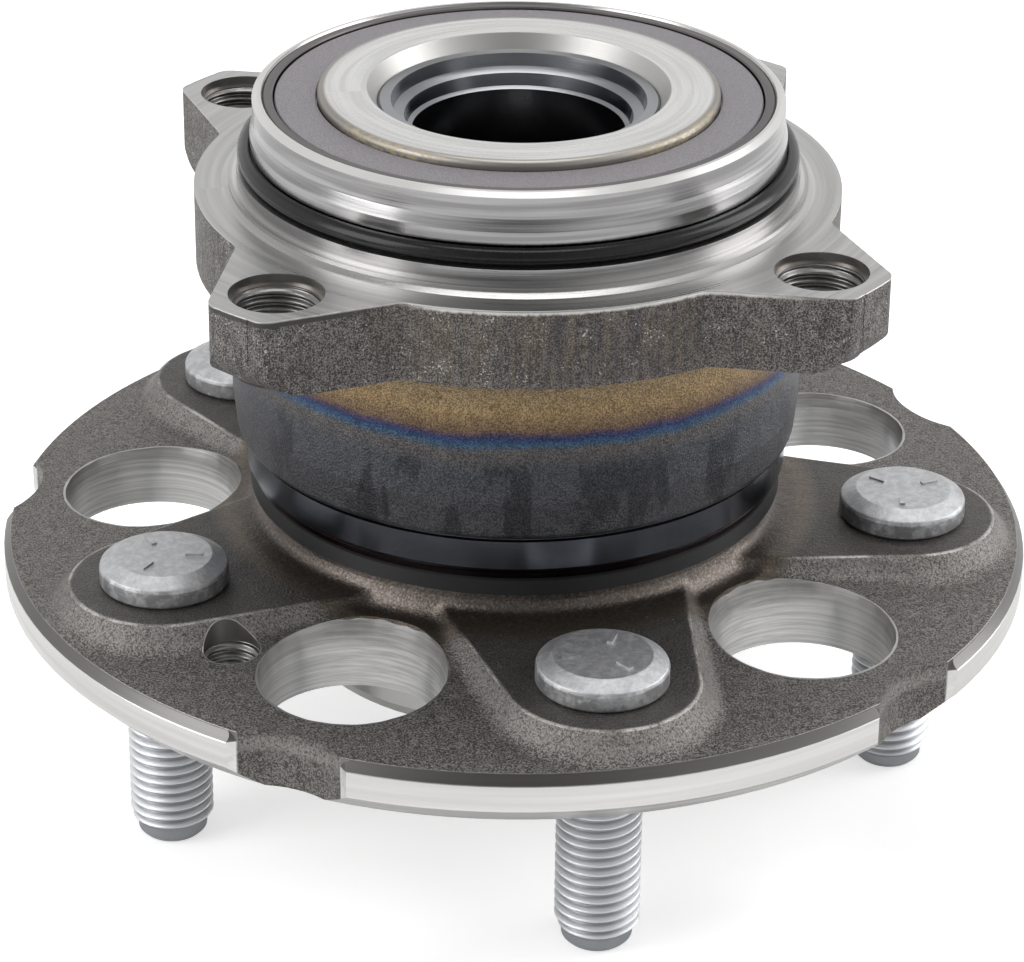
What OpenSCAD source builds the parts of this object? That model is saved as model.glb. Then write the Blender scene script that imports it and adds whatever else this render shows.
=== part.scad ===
// Wheel hub bearing for a driven wheel: a forged hub flange that turns inside a
// flanged outer ring on two rows of angular contact balls, sealed at both ends.
// Millimetres. The origin is the centre of the wheel mounting face, and +Z runs
// along the spin axis towards the knuckle, so the wheel studs point down.

/* [Wheel flange] */
// Outer radius of the wheel flange
rim_r = 75.35; // [74.5:0.05:80]
// Thickness of the flange plate at its rim
rim_t = 8.3; // [7.5:0.1:9.5]
// How much thicker the plate is where it meets the boss
plate_rise = 1.5; // [0.5:0.1:2.5]
// Height of the forged edge chamfer under the rim
rim_low = 3.0; // [1:0.1:3.5]
// Width and height of the turned chamfer on top of the rim
rim_top = 1.0; // [0.4:0.1:1.5]
// Radius of the boss under the outboard seal
boss_r = 37.2; // [36.8:0.1:38]
// Height of the boss top above the wheel face
boss_top_z = 16.0; // [15.5:0.1:16.3]
// Radius of the forged fillet between plate and boss
root_fillet = 5.2; // [3:0.1:5.5]
// Depth of the scallop in the rim between two studs
scallop_depth = 3.85; // [2:0.05:4.5]
// Half of a scallop's width at the rim
scallop_half = 9.6; // [7:0.1:11]
// Radius of the rounded ridge above a scallop
scallop_round = 1.6; // [0.5:0.1:2.2]
// Radius of each round window through the plate
window_r = 12.65; // [11:0.05:13]
// Distance of a window's centre from the spin axis
window_at = 54.5; // [54:0.1:57]
// How far a window's forged mouth stands out beyond its bore
window_lead = 0.5; // [0.2:0.05:0.7]

/* [Stud arms] */
// Height of the raised arms, on which the stud heads seat
pad_t = 12.0; // [11:0.1:13]
// Radius of an arm's round end
arm_r = 13.2; // [11:0.1:14]
// Angle at which an arm widens towards the boss
arm_flare = 9; // [0:0.5:12]
// How far an arm's foot stands out all round, over its whole height
arm_draft = 4.0; // [1:0.1:4.5]

/* [Wheel studs] */
// Number of wheel studs
stud_count = 5; // [5:1:5]
// Diameter of the stud circle
stud_pcd = 114.3; // [112:0.1:116]
// Nominal thread diameter of a stud
stud_d = 12; // [10:0.5:14]
// How far a stud stands out of the wheel face
stud_out = 29.2; // [24:0.1:45]
// How far the knurled neck stands out over the thread
knurl_rise = 0.45; // [0.2:0.05:1.2]
// Radius of a stud's head
head_r = 9.15; // [8.6:0.05:10.5]
// Height of a stud's head
head_h = 4.13; // [3:0.01:6]
// Angle of the first stud when the hub is at rest
hub_angle = -84.9; // [-180:0.1:180]
// Radius of the two tapped holes for the disc screws, at the thread's root
screw_hole_r = 4.0; // [3:0.05:4.5]
// Distance of the disc screw holes from the spin axis
screw_at = 58.4; // [57:0.1:62]

/* [Wheel pilot] */
// Radius of the pilot that centres the wheel
pilot_r = 33.05; // [31:0.05:34]
// Length of the pilot below the wheel face
pilot_len = 10.0; // [7:0.1:20]
// Height of the lead chamfer on the pilot
pilot_lead = 1.8; // [0.5:0.1:2.5]
// Radius of the recess for the axle nut
recess_r = 27.0; // [24:0.1:28]
// Height of the nut seat above the wheel face
nut_seat_z = 6.0; // [3:0.1:6.2]

/* [Spindle bore] */
// Radius of the plain bore above the splines
bore_r = 15.13; // [14.6:0.01:15.5]
// Number of spline teeth in the bore
spline_teeth = 27; // [20:1:32]
// Depth of the spline teeth
spline_depth = 1.4; // [0.8:0.1:1.6]
// Height of the upper end of the splines
spline_top_z = 57; // [40:0.5:60]
// Wall of the spindle round its bore
spindle_wall = 4.8; // [4:0.1:5.2]
// Wall round the counterbore at the spindle's end
lip_wall = 1.85; // [1.5:0.05:2.6]
// Depth of that counterbore
lip_depth = 1.85; // [1:0.05:2.5]
// Width of the second step in the bore
mouth_step = 1.07; // [0.8:0.01:1.4]

/* [Outer ring] */
// Height of the ring's outboard end above the wheel face
ring_end_z = 19.2; // [19:0.1:19.6]
// Height of the knuckle face above the wheel face
knuckle_z = 62.1; // [60:0.1:70]
// Thickness of the knuckle flange
flange_t = 11.4; // [9:0.1:13]
// Radius of the knuckle flange between its lugs
flange_base_r = 46.0; // [45:0.1:48]
// Radius of the forged barrel
barrel_r = 41.2; // [40.5:0.1:42]
// Radius of the turned band at the outboard end
end_band_r = 39.5; // [38.9:0.1:39.8]
// Length of the turned band
end_band_len = 5.0; // [3:0.1:6]
// Length of the spigot above the knuckle face
spigot_len = 13.1; // [12.5:0.1:15]
// Radius of the shoulder that centres the spigot in the knuckle
spigot_shoulder_r = 40.0; // [39.5:0.1:40.6]
// Radius of the spigot above its seal groove
spigot_r = 38.0; // [37.8:0.1:38.6]
// Radius of the bore in which both seals are pressed
seal_bore_r = 36.1; // [36.1:0.02:36.5]
// Radius of the rib between the two raceways
rib_r = 33.0; // [32.6:0.1:34]

/* [Knuckle lugs] */
// Number of lugs
lug_count = 4; // [3:1:4]
// Radius of the circle on which the knuckle bolts lie
lug_bolt_r = 52.0; // [51:0.1:54]
// Outer radius of the lugs
lug_tip_r = 60.6; // [60:0.1:64]
// Half of a lug's width at its bolt hole
lug_half_w = 9.75; // [9:0.05:11]
// Angle between a lug's side and its own centre line
lug_side_a = 30; // [20:1:35]
// Radius of a lug's upright corners
lug_corner = 2.5; // [1:0.1:4]
// Radius of the fillet where a lug meets the flange
lug_fillet = 3.5; // [2:0.1:5]
// Radius of the rounded lower edge of a lug
lug_edge = 5.0; // [2:0.1:6]
// Radius of a bolt hole at the root of its thread
bolt_hole_r = 6.0; // [5:0.05:6.2]
// Radius of the counterbore at a bolt hole's mouth
bolt_mouth_r = 6.5; // [6.3:0.05:7]
// Depth of that counterbore
bolt_mouth_depth = 1.5; // [0.5:0.1:3]

/* [Bearing rows] */
// Number of balls in each row
ball_count = 14; // [12:1:14]
// Diameter of a ball
ball_d = 11.906; // [11.2:0.001:11.95]
// Radius of the circle through the ball centres
pitch_r = 30.0; // [29.9:0.05:30.1]
// Contact angle of the balls
contact_a = 40; // [30:1:45]
// Distance of the outboard row from the ring's outboard end
row_inset_out = 13.0; // [12.8:0.1:14]
// Distance of the inboard row from the ring's inboard end
row_inset_in = 15.2; // [14.6:0.1:16]
// Radius of the high shoulders beside the inner raceways
shoulder_r = 28.4; // [27.8:0.1:28.6]
// Radius of the low side of the inner raceways
low_r = 24.15; // [24.1:0.05:24.6]

/* [Inner ring] */
// How far the inner ring stands above the outer ring's inboard end
ring_stand = 0.74; // [0:0.02:1.5]
// How far the spindle's end lies below the inner ring's face
spindle_drop = 1.9; // [1:0.1:2.6]
// Height of the inner ring
inner_ring_h = 28.9; // [26:0.1:30]
// Radius of the rounded outer edge of the inner ring's face
face_round = 0.8; // [0.4:0.1:1.2]
// Width of the chamfer at the mouth of the inner ring
mouth_chamfer = 1.45; // [0.5:0.05:2]

/* [Seals and cages] */
// Depth of the inboard seal in its bore
seal_in_depth = 5.6; // [5.2:0.1:6]
// Depth of the outboard seal in its bore
seal_out_depth = 4.0; // [3.6:0.1:4.4]
// Thickness of the seal cases
case_t = 0.8; // [0.6:0.05:1]
// Outer radius of the outboard case's flange
case_flange_r = 38.7; // [38:0.1:39.2]
// Outer radius of the encoder ring
encoder_r = 34.4; // [33.8:0.1:34.4]
// Thickness of the encoder ring
encoder_t = 0.9; // [0.6:0.1:1.2]
// Thickness of the slinger's sheet
slinger_t = 0.5; // [0.4:0.05:0.7]
// Inner radius of the cages
cage_in_r = 28.9; // [28.9:0.1:29.2]
// Outer radius of the cages
cage_out_r = 32.4; // [31.6:0.1:32.5]
// Section radius of the knuckle O-ring
oring_section = 1.2; // [1:0.05:1.3]

/* [Clearances] */
// Gap at a pressed seat
press_gap = 0.02; // [0.01:0.01:0.05]
// Gap between a ball and its raceways
race_gap = 0.1; // [0.08:0.01:0.15]
// Gap between a ball and its cage pocket
pocket_gap = 0.2; // [0.15:0.01:0.3]
// Gap between a seal lip and the face it runs on
lip_gap = 0.1; // [0.08:0.01:0.2]

/* [Hidden] */
$fn = 96;
stud_r = stud_d / 2;
knurl_r = stud_r + knurl_rise;
stud_at = stud_pcd / 2;
between = 360 / stud_count / 2;
through = 1;
edge_cut = 0.4;

// raceways
race_r = 0.52 * ball_d;
race_off = race_r - ball_d / 2 - race_gap;
ring_top_z = knuckle_z + spigot_len;
row_out_z = ring_end_z + row_inset_out;
row_in_z = ring_top_z - row_inset_in;
inner_top_z = ring_top_z + ring_stand;
inner_low_z = inner_top_z - inner_ring_h;
spindle_top_z = inner_top_z - spindle_drop;
lock_step = 0.2;
open_r = pitch_r - race_off * cos(contact_a) + race_r - lock_step;
neck_fillet = 3.2;

// forged plate, which slopes up from the rim to the boss
plate_edge_r = rim_r - rim_top;
fillet_foot_r = boss_r + root_fillet;
plate_slope = plate_rise / (plate_edge_r - fillet_foot_r);
arm_low_z = nut_seat_z + 0.3;
arm_root_x = recess_r + 3;
rim_face_z = rim_t - rim_top * 1.5;
scallop_r = (pow(scallop_half, 2) + pow(scallop_depth, 2)) / (2 * scallop_depth);

// bore of the spindle and the seat of the inner ring
spline_in_r = bore_r - spline_depth;
seat_r = bore_r + spindle_wall;
ring_bore_r = seat_r + press_gap;
lip_r = seat_r - lip_wall;
mouth_r = bore_r + mouth_step;
lip_z = spindle_top_z - lip_depth;
mouth_z = lip_z - 0.5;
mouth_low_z = mouth_z - 1.8;

// knuckle flange and spigot
flange_low_z = knuckle_z - flange_t;
side_a = 90 - lug_side_a;
side_d = lug_bolt_r * cos(side_a) + lug_half_w * sin(side_a);
groove_low_z = knuckle_z + 3.2;
groove_w = 2.7;
groove_floor_r = spigot_r - 0.6;

// seals
stop_in_z = ring_top_z - seal_in_depth;
stop_out_z = ring_end_z + seal_out_depth;
case_r = seal_bore_r - press_gap;
encoder_top_z = ring_top_z - 0.5;
slinger_top_z = encoder_top_z - encoder_t;
slinger_in_r = shoulder_r + press_gap;
slinger_out_r = slinger_in_r + slinger_t;
slinger_disc_r = encoder_r - 0.1;
case_flange_t = 1.2;

// cages
pocket_r = ball_d / 2 + pocket_gap;
cage_back = 1.8;
cage_front = 2.4;

BALL_NAMES = [for (side = ["inboard", "outboard"]) for (i = [1:ball_count]) str(side, "_ball_", i)];
STUD_NAMES = [for (i = [1:stud_count]) str("wheel_stud_", i)];

function stud_a(i) = hub_angle + i * 360 / stud_count;
function polar(r, a) = [r * cos(a), r * sin(a)];
function flip(p) = [p[0], -p[1]];
function plate_z(r) = rim_t + plate_slope * (plate_edge_r - r);
function ball_a(i) = (i - 1) * 360 / ball_count;

// Concave fillet at the corner p, open towards the quadrant dir, bedded into the walls.
module corner_fillet(p, r, dir) {
    bed = 0.3;
    difference() {
        translate([p[0] - bed * dir[0], p[1] - bed * dir[1]])
            scale([dir[0], dir[1]])
                square(r + bed);
        translate([p[0] + r * dir[0], p[1] + r * dir[1]])
            circle(r = r);
    }
}

// Groove circle of a raceway: on the outer side (1) or inner side (-1) of the ball,
// with its contact towards the middle of the bearing on the outer side.
module race_circle(row_z, side, to_middle) {
    translate([
        pitch_r - side * race_off * cos(contact_a),
        row_z - side * to_middle * race_off * sin(contact_a)
    ])
        circle(r = race_r);
}

// Fillet between the sloping plate and the boss.
module root_fillet_2d() {
    bed = 0.5;
    len = sqrt(1 + pow(plate_slope, 2));
    mid = [fillet_foot_r, plate_z(fillet_foot_r) + root_fillet * len];
    foot = mid - root_fillet / len * [plate_slope, 1];
    difference() {
        polygon([
            [boss_r - bed, plate_z(boss_r) - bed],
            [foot[0], foot[1] - bed],
            foot,
            mid,
            [boss_r, mid[1]],
            [boss_r - bed, mid[1]]
        ]);
        translate(mid)
            circle(r = root_fillet);
    }
}

// Half section of the hub: pilot, plate, boss, raceway, spindle and stepped bore.
module hub_profile() {
    relief_w = 1.5;
    relief_h = 0.6;
    boss_round = 0.8;
    lead_w = 1.0;
    end_cut = 0.3;
    difference() {
        union() {
            polygon([
                [spline_in_r, nut_seat_z],
                [recess_r, nut_seat_z],
                [recess_r, edge_cut - pilot_len],
                [recess_r + edge_cut, -pilot_len],
                [pilot_r - lead_w, -pilot_len],
                [pilot_r, pilot_lead - pilot_len],
                [pilot_r, relief_h],
                [pilot_r + relief_w, relief_h],
                [pilot_r + relief_w, 0],
                [rim_r - rim_low, 0],
                [rim_r, rim_low],
                [rim_r, rim_face_z],
                [plate_edge_r, rim_t],
                [boss_r, plate_z(boss_r)],
                [boss_r, boss_top_z - boss_round],
                [boss_r - boss_round, boss_top_z],
                [shoulder_r, boss_top_z],
                [shoulder_r, row_out_z],
                [low_r, row_out_z],
                [low_r, inner_low_z],
                [seat_r, inner_low_z],
                [seat_r, spindle_top_z - end_cut],
                [seat_r - end_cut, spindle_top_z],
                [lip_r, spindle_top_z],
                [lip_r - edge_cut, lip_z],
                [mouth_r, mouth_z],
                [mouth_r - edge_cut, mouth_low_z],
                [bore_r, mouth_low_z - end_cut],
                [bore_r, spline_top_z + spline_depth],
                [spline_in_r, spline_top_z]
            ]);
            translate([boss_r - boss_round, boss_top_z - boss_round])
                circle(r = boss_round);
            root_fillet_2d();
            corner_fillet([shoulder_r, boss_top_z], neck_fillet, [1, 1]);
            corner_fillet([recess_r, nut_seat_z], 2, [-1, -1]);
        }
        race_circle(row_out_z, -1, 1);
    }
}

// Raised arm from the boss out to a stud, with drafted forged sides.
module stud_arm() {
    root_half = arm_r + (stud_at - arm_root_x) * tan(arm_flare);
    skin = 0.1;
    hull() {
        translate([stud_at, 0, arm_low_z])
            cylinder(h = pad_t - arm_low_z, r1 = arm_r + arm_draft, r2 = arm_r, $fn = 48);
        translate([arm_root_x, -root_half - arm_draft, arm_low_z])
            cube([1, 2 * (root_half + arm_draft), skin]);
        translate([arm_root_x, -root_half, pad_t - skin])
            cube([1, 2 * root_half, skin]);
    }
}

// Internal spline: one tapered space for each tooth.
module spline_spaces() {
    space_a = 360 / spline_teeth;
    root_r = bore_r - 0.05;
    under_r = spline_in_r - 0.5;
    for (i = [0:spline_teeth - 1])
        rotate(i * space_a)
            polygon([
                polar(under_r, -space_a * 0.3),
                polar(root_r, -space_a * 0.2),
                polar(root_r, space_a * 0.2),
                polar(under_r, space_a * 0.3)
            ]);
}

// Cutter of a scallop: an upright wall that rounds over into the plate's top.
module scallop_cut() {
    top_z = plate_z(rim_r - scallop_depth);
    bed = 0.02;
    rotate_extrude() {
        translate([0, -through])
            square([scallop_r, pad_t + 2 * through]);
        difference() {
            translate([scallop_r - bed, top_z - scallop_round])
                square([scallop_round, scallop_round + through]);
            translate([scallop_r + scallop_round - bed, top_z - scallop_round])
                circle(r = scallop_round);
        }
    }
}

// Cutter of a window: the bore, and the drafted mouth of the forging above it.
module window_cut() {
    lead_h = 2.2;
    lead_z = plate_z(window_at) - lead_h;
    top_z = boss_top_z + through;
    translate([window_at, 0, -through])
        cylinder(h = top_z + through, r = window_r);
    translate([window_at, 0, lead_z])
        cylinder(
            h = top_z - lead_z,
            r1 = window_r,
            r2 = window_r + window_lead * (top_z - lead_z) / lead_h
        );
}

module disc_screw_hole() {
    mouth = 0.8;
    translate([screw_at, 0, -through])
        cylinder(h = boss_top_z, r = screw_hole_r);
    translate([screw_at, 0, -through])
        cylinder(h = through + mouth, r1 = screw_hole_r + through + mouth, r2 = screw_hole_r);
}

module hub() {
    color("#55524e")
        difference() {
            union() {
                rotate_extrude()
                    hub_profile();
                for (i = [0:stud_count - 1])
                    rotate(stud_a(i))
                        stud_arm();
            }
            for (i = [0:stud_count - 1]) {
                rotate(stud_a(i))
                    translate([stud_at, 0, -through])
                        cylinder(h = pad_t + 2 * through, r = knurl_r + press_gap);
                rotate(stud_a(i) + between) {
                    window_cut();
                    translate([rim_r - scallop_depth + scallop_r, 0, 0])
                        scallop_cut();
                }
            }
            for (i = [0, 1])
                rotate(stud_a(stud_count - 1) + between / 2 + i * 180)
                    disc_screw_hole();
            translate([0, 0, nut_seat_z - through])
                linear_extrude(spline_top_z + spline_depth - nut_seat_z + through)
                    spline_spaces();
        }
}

// Stud with a bevelled round head, a knurled neck and a plain lead tip.
module wheel_stud(i) {
    bevel_h = 1.18;
    bevel_r = head_r - 2.3;
    side_h = 2.3;
    tip_r = stud_r - 1;
    tip_h = 2.0;
    tip_cut = 0.8;
    knurl_teeth = 40;
    knurl_low_z = 1.5;
    knurl_cut = 0.35;
    neck_low_z = -0.3;
    neck_r = stud_r - 0.2;
    rotate(stud_a(i))
        translate([stud_at, 0, 0])
            color("#77787a")
                union() {
                    rotate_extrude()
                        polygon([
                            [0, -stud_out],
                            [tip_r - tip_cut, -stud_out],
                            [tip_r, tip_cut - stud_out],
                            [tip_r, tip_h - stud_out],
                            [stud_r, tip_h + 1 - stud_out],
                            [stud_r, neck_low_z],
                            [neck_r, neck_low_z + 0.2],
                            [neck_r, knurl_low_z],
                            [knurl_r - knurl_cut, knurl_low_z + knurl_cut],
                            [knurl_r - knurl_cut, pad_t],
                            [head_r - 0.8, pad_t],
                            [head_r, pad_t + 0.8],
                            [head_r, pad_t + side_h],
                            [head_r - 0.18, pad_t + head_h - bevel_h],
                            [bevel_r, pad_t + head_h],
                            [0, pad_t + head_h]
                        ]);
                    translate([0, 0, knurl_low_z + 1])
                        linear_extrude(pad_t - knurl_low_z - 1)
                            polygon([
                                for (k = [0:2 * knurl_teeth - 1])
                                    polar(knurl_r - (k % 2) * knurl_cut * 1.4, k * 180 / knurl_teeth)
                            ]);
                }
}

// Half section of the outer ring: turned end band, barrel, spigot and both raceways.
module ring_profile() {
    band_top_z = ring_end_z + end_band_len;
    nick = 0.4;
    forge_z = band_top_z + 0.6;
    forge_round = 1.4;
    forge_r = barrel_r - 0.45;
    root_r = spigot_shoulder_r + 2.2;
    ledge_r = spigot_shoulder_r + 1.2;
    top_cut = 0.6;
    nose_r = spigot_r - 0.4;
    difference() {
        union() {
            polygon([
                [seal_bore_r + edge_cut, ring_end_z],
                [end_band_r - 0.7, ring_end_z],
                [end_band_r, ring_end_z + 0.8],
                [end_band_r, band_top_z],
                [end_band_r - nick, band_top_z + 0.2],
                [end_band_r - nick, forge_z],
                [forge_r - forge_round, forge_z],
                [forge_r, forge_z + forge_round],
                [barrel_r, forge_z + 6],
                [barrel_r, knuckle_z - 1],
                [root_r, knuckle_z - 1],
                [root_r, knuckle_z],
                [ledge_r, knuckle_z + 0.5],
                [ledge_r, knuckle_z + 1.1],
                [spigot_shoulder_r, knuckle_z + 1.1],
                [spigot_shoulder_r, groove_low_z],
                [groove_floor_r, groove_low_z],
                [groove_floor_r, groove_low_z + groove_w],
                [spigot_r, groove_low_z + groove_w],
                [spigot_r, groove_low_z + groove_w + 1.8],
                [nose_r, groove_low_z + groove_w + 3.6],
                [nose_r, ring_top_z - top_cut],
                [nose_r - 0.8, ring_top_z],
                [seal_bore_r + 0.2, ring_top_z],
                [seal_bore_r, ring_top_z - 0.3],
                [seal_bore_r, stop_in_z],
                [open_r, stop_in_z],
                [open_r, row_in_z],
                [rib_r, row_in_z],
                [rib_r, row_out_z],
                [open_r, row_out_z],
                [open_r, stop_out_z],
                [seal_bore_r, stop_out_z],
                [seal_bore_r, ring_end_z + edge_cut]
            ]);
            translate([forge_r - forge_round, forge_z + forge_round])
                circle(r = forge_round);
            corner_fillet([barrel_r, flange_low_z], 3, [1, -1]);
        }
        race_circle(row_out_z, 1, 1);
        race_circle(row_in_z, 1, -1);
    }
}

// Lug on +X: tangent corner circles, an arc round the axis and concave base fillets.
module lug_2d() {
    n = polar(1, side_a);
    blend = 0.02;
    fillet_at = flange_base_r + lug_fillet - blend;
    corner_a = side_a - acos((side_d - lug_corner) / (lug_tip_r - lug_corner));
    fillet_a = side_a - acos((side_d + lug_fillet) / fillet_at);
    corner = polar(lug_tip_r - lug_corner, corner_a);
    fillet = polar(fillet_at, fillet_a);
    tip = polar(lug_tip_r, corner_a);
    foot = polar(flange_base_r - 0.2, fillet_a);
    upper = [foot, fillet, fillet - lug_fillet * n, corner + lug_corner * n, tip];
    lower = [for (k = [len(upper) - 1:-1:0]) flip(upper[k])];
    difference() {
        polygon(concat([[flange_base_r / 2, 0]], upper, lower));
        translate(fillet)
            circle(r = lug_fillet);
        translate(flip(fillet))
            circle(r = lug_fillet);
    }
    translate(corner)
        circle(r = lug_corner);
    translate(flip(corner))
        circle(r = lug_corner);
    intersection() {
        circle(r = lug_tip_r);
        polygon([[lug_bolt_r, 0], 1.1 * tip, 1.1 * flip(tip)]);
    }
}

module knuckle_flange() {
    intersection() {
        translate([0, 0, flange_low_z])
            linear_extrude(flange_t)
                difference() {
                    union() {
                        circle(r = flange_base_r);
                        for (i = [0:lug_count - 1])
                            rotate(45 + i * 360 / lug_count)
                                lug_2d();
                    }
                    circle(r = barrel_r - 1);
                }
        rotate_extrude()
            union() {
                polygon([
                    [0, flange_low_z],
                    [lug_tip_r - lug_edge, flange_low_z],
                    [lug_tip_r, flange_low_z + lug_edge],
                    [lug_tip_r, knuckle_z],
                    [0, knuckle_z]
                ]);
                translate([lug_tip_r - lug_edge, flange_low_z + lug_edge])
                    circle(r = lug_edge);
            }
    }
}

module outer_ring() {
    color("#8b8681")
        difference() {
            union() {
                rotate_extrude()
                    ring_profile();
                knuckle_flange();
            }
            for (i = [0:lug_count - 1])
                rotate(45 + i * 360 / lug_count)
                    translate([lug_bolt_r, 0, 0]) {
                        translate([0, 0, flange_low_z - through])
                            cylinder(h = flange_t + 2 * through, r = bolt_hole_r);
                        translate([0, 0, knuckle_z - bolt_mouth_depth])
                            cylinder(h = bolt_mouth_depth + through, r = bolt_mouth_r);
                    }
        }
}

module knuckle_o_ring() {
    color("#1b1b1c")
        rotate_extrude()
            translate([groove_floor_r + press_gap + oring_section, groove_low_z + groove_w / 2])
                circle(r = oring_section);
}

module inner_ring() {
    foot_cut = 0.6;
    color("#a9a6a2")
        rotate_extrude()
            difference() {
                union() {
                    polygon([
                        [ring_bore_r + foot_cut, inner_low_z + press_gap],
                        [low_r - edge_cut, inner_low_z + press_gap],
                        [low_r, inner_low_z + edge_cut],
                        [low_r, row_in_z],
                        [shoulder_r, row_in_z],
                        [shoulder_r, inner_top_z - face_round],
                        [shoulder_r - face_round, inner_top_z],
                        [ring_bore_r + mouth_chamfer, inner_top_z],
                        [ring_bore_r, inner_top_z - mouth_chamfer * 1.5],
                        [ring_bore_r, inner_low_z + foot_cut]
                    ]);
                    translate([shoulder_r - face_round, inner_top_z - face_round])
                        circle(r = face_round);
                }
                race_circle(row_in_z, -1, -1);
            }
}

// Pressed steel case: a sleeve in the ring's bore, a rolled top rim and an inner flange.
module inboard_seal_case() {
    rim_in_r = encoder_r + 0.25;
    rim_h = 1.6;
    top_z = ring_top_z - 0.2;
    sleeve_in_r = case_r - case_t;
    color("#6f6e6c")
        rotate_extrude()
            polygon([
                [31.2, stop_in_z + press_gap],
                [case_r - 0.3, stop_in_z + press_gap],
                [case_r, stop_in_z + 0.3],
                [case_r, top_z - 0.2],
                [case_r - 0.2, top_z],
                [rim_in_r + 0.2, top_z],
                [rim_in_r, top_z - 0.2],
                [rim_in_r, top_z - rim_h],
                [sleeve_in_r, top_z - rim_h - 0.4],
                [sleeve_in_r, stop_in_z + case_t],
                [31.2, stop_in_z + case_t]
            ]);
}

// Rubber on the inner flange of the case: one lip on the slinger's sleeve, two on its disc.
module inboard_seal_lips() {
    base_z = stop_in_z + case_t;
    disc_z = slinger_top_z - slinger_t - lip_gap;
    run_r = slinger_out_r + lip_gap;
    color("#232323")
        rotate_extrude()
            union() {
                polygon([
                    [30.4, base_z],
                    [33.4, base_z],
                    [33.2, base_z + 0.7],
                    [30.6, base_z + 0.7]
                ]);
                polygon([
                    [32.5, base_z + 0.4],
                    [33.2, base_z + 0.5],
                    [33.9, disc_z],
                    [33.5, disc_z]
                ]);
                polygon([
                    [30.9, base_z + 0.4],
                    [31.6, base_z + 0.4],
                    [32.1, disc_z],
                    [31.7, disc_z]
                ]);
                polygon([
                    [30.8, base_z],
                    [30.8, base_z + 0.6],
                    [run_r, base_z + 1.4],
                    [run_r, base_z + 0.9]
                ]);
            }
}

// L-shaped steel ring on the inner ring; the encoder is bonded on its disc.
module inboard_slinger() {
    sleeve_low_z = stop_in_z + 1.2;
    color("#8f8e8a")
        rotate_extrude()
            polygon([
                [slinger_in_r, sleeve_low_z],
                [slinger_out_r, sleeve_low_z],
                [slinger_out_r, slinger_top_z - slinger_t],
                [slinger_disc_r, slinger_top_z - slinger_t],
                [slinger_disc_r, slinger_top_z],
                [slinger_in_r, slinger_top_z]
            ]);
}

module encoder_ring() {
    soft_cut = 0.15;
    color("#5b5a58")
        rotate_extrude()
            polygon([
                [slinger_in_r + 0.15, slinger_top_z],
                [encoder_r, slinger_top_z],
                [encoder_r, encoder_top_z - soft_cut],
                [encoder_r - soft_cut, encoder_top_z],
                [slinger_in_r + 0.15 + soft_cut, encoder_top_z],
                [slinger_in_r + 0.15, encoder_top_z - soft_cut]
            ]);
}

// Case with a flange over the ring's end, a sleeve in its bore and an inner flange.
module outboard_seal_case() {
    low_z = ring_end_z - press_gap - case_flange_t;
    top_z = stop_out_z - press_gap;
    sleeve_in_r = case_r - case_t;
    color("#3c3b3a")
        rotate_extrude()
            polygon([
                [31.0, top_z],
                [31.0, top_z - case_t],
                [sleeve_in_r, top_z - case_t],
                [sleeve_in_r, low_z],
                [case_flange_r - 0.3, low_z],
                [case_flange_r, low_z + 0.3],
                [case_flange_r, ring_end_z - press_gap - 0.2],
                [case_flange_r - 0.2, ring_end_z - press_gap],
                [case_r, ring_end_z - press_gap],
                [case_r, top_z - 0.3],
                [case_r - 0.3, top_z]
            ]);
}

// Rubber bonded under the case: a skirt over the boss and two lips that run on the hub.
module outboard_seal_lips() {
    flange_z = ring_end_z - press_gap - case_flange_t;
    inner_z = stop_out_z - press_gap - case_t;
    sleeve_r = case_r - case_t;
    coat = 0.5;
    face_z = boss_top_z + lip_gap;
    run_r = shoulder_r + lip_gap;
    skirt_z = flange_z - 2.4;
    color("#1f1f20")
        rotate_extrude()
            union() {
                polygon([
                    [sleeve_r - coat, flange_z - 0.5],
                    [case_flange_r - 0.3, flange_z - 0.5],
                    [case_flange_r - 0.3, flange_z],
                    [sleeve_r, flange_z],
                    [sleeve_r, inner_z],
                    [30.2, inner_z],
                    [30.2, inner_z - 0.6],
                    [sleeve_r - coat, inner_z - 0.6]
                ]);
                polygon([
                    [case_flange_r - 0.3, skirt_z - 0.1],
                    [case_flange_r + 0.2, skirt_z],
                    [case_flange_r - 0.35, flange_z - 0.2],
                    [case_flange_r - 1.0, flange_z - 0.3]
                ]);
                polygon([
                    [34.5, face_z],
                    [35.0, face_z],
                    [33.2, inner_z - 0.3],
                    [32.2, inner_z - 0.3]
                ]);
                polygon([
                    [run_r, inner_z - 1.6],
                    [run_r + 0.1, inner_z - 2.1],
                    [31.1, inner_z - 0.5],
                    [30.5, inner_z - 0.1]
                ]);
            }
}

// Snap cage: a ring whose spherical pockets open towards the middle of the bearing.
module cage(row_z, back) {
    soft = 0.4;
    color("#c9b88a")
        difference() {
            translate([0, 0, row_z])
                scale([1, 1, back])
                    rotate_extrude()
                        polygon([
                            [cage_in_r, -cage_front],
                            [cage_out_r, -cage_front],
                            [cage_out_r, pocket_r + cage_back - soft],
                            [cage_out_r - soft, pocket_r + cage_back],
                            [cage_in_r + soft, pocket_r + cage_back],
                            [cage_in_r, pocket_r + cage_back - soft]
                        ]);
            for (i = [1:ball_count])
                rotate(ball_a(i))
                    translate([pitch_r, 0, row_z])
                        sphere(r = pocket_r);
        }
}

module inboard_cage() {
    cage(row_in_z, 1);
}

module outboard_cage() {
    cage(row_out_z, -1);
}

module ball(i, row_z) {
    color("#d6d7d8")
        rotate(ball_a(i))
            translate([pitch_r, 0, row_z])
                sphere(d = ball_d);
}

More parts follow.
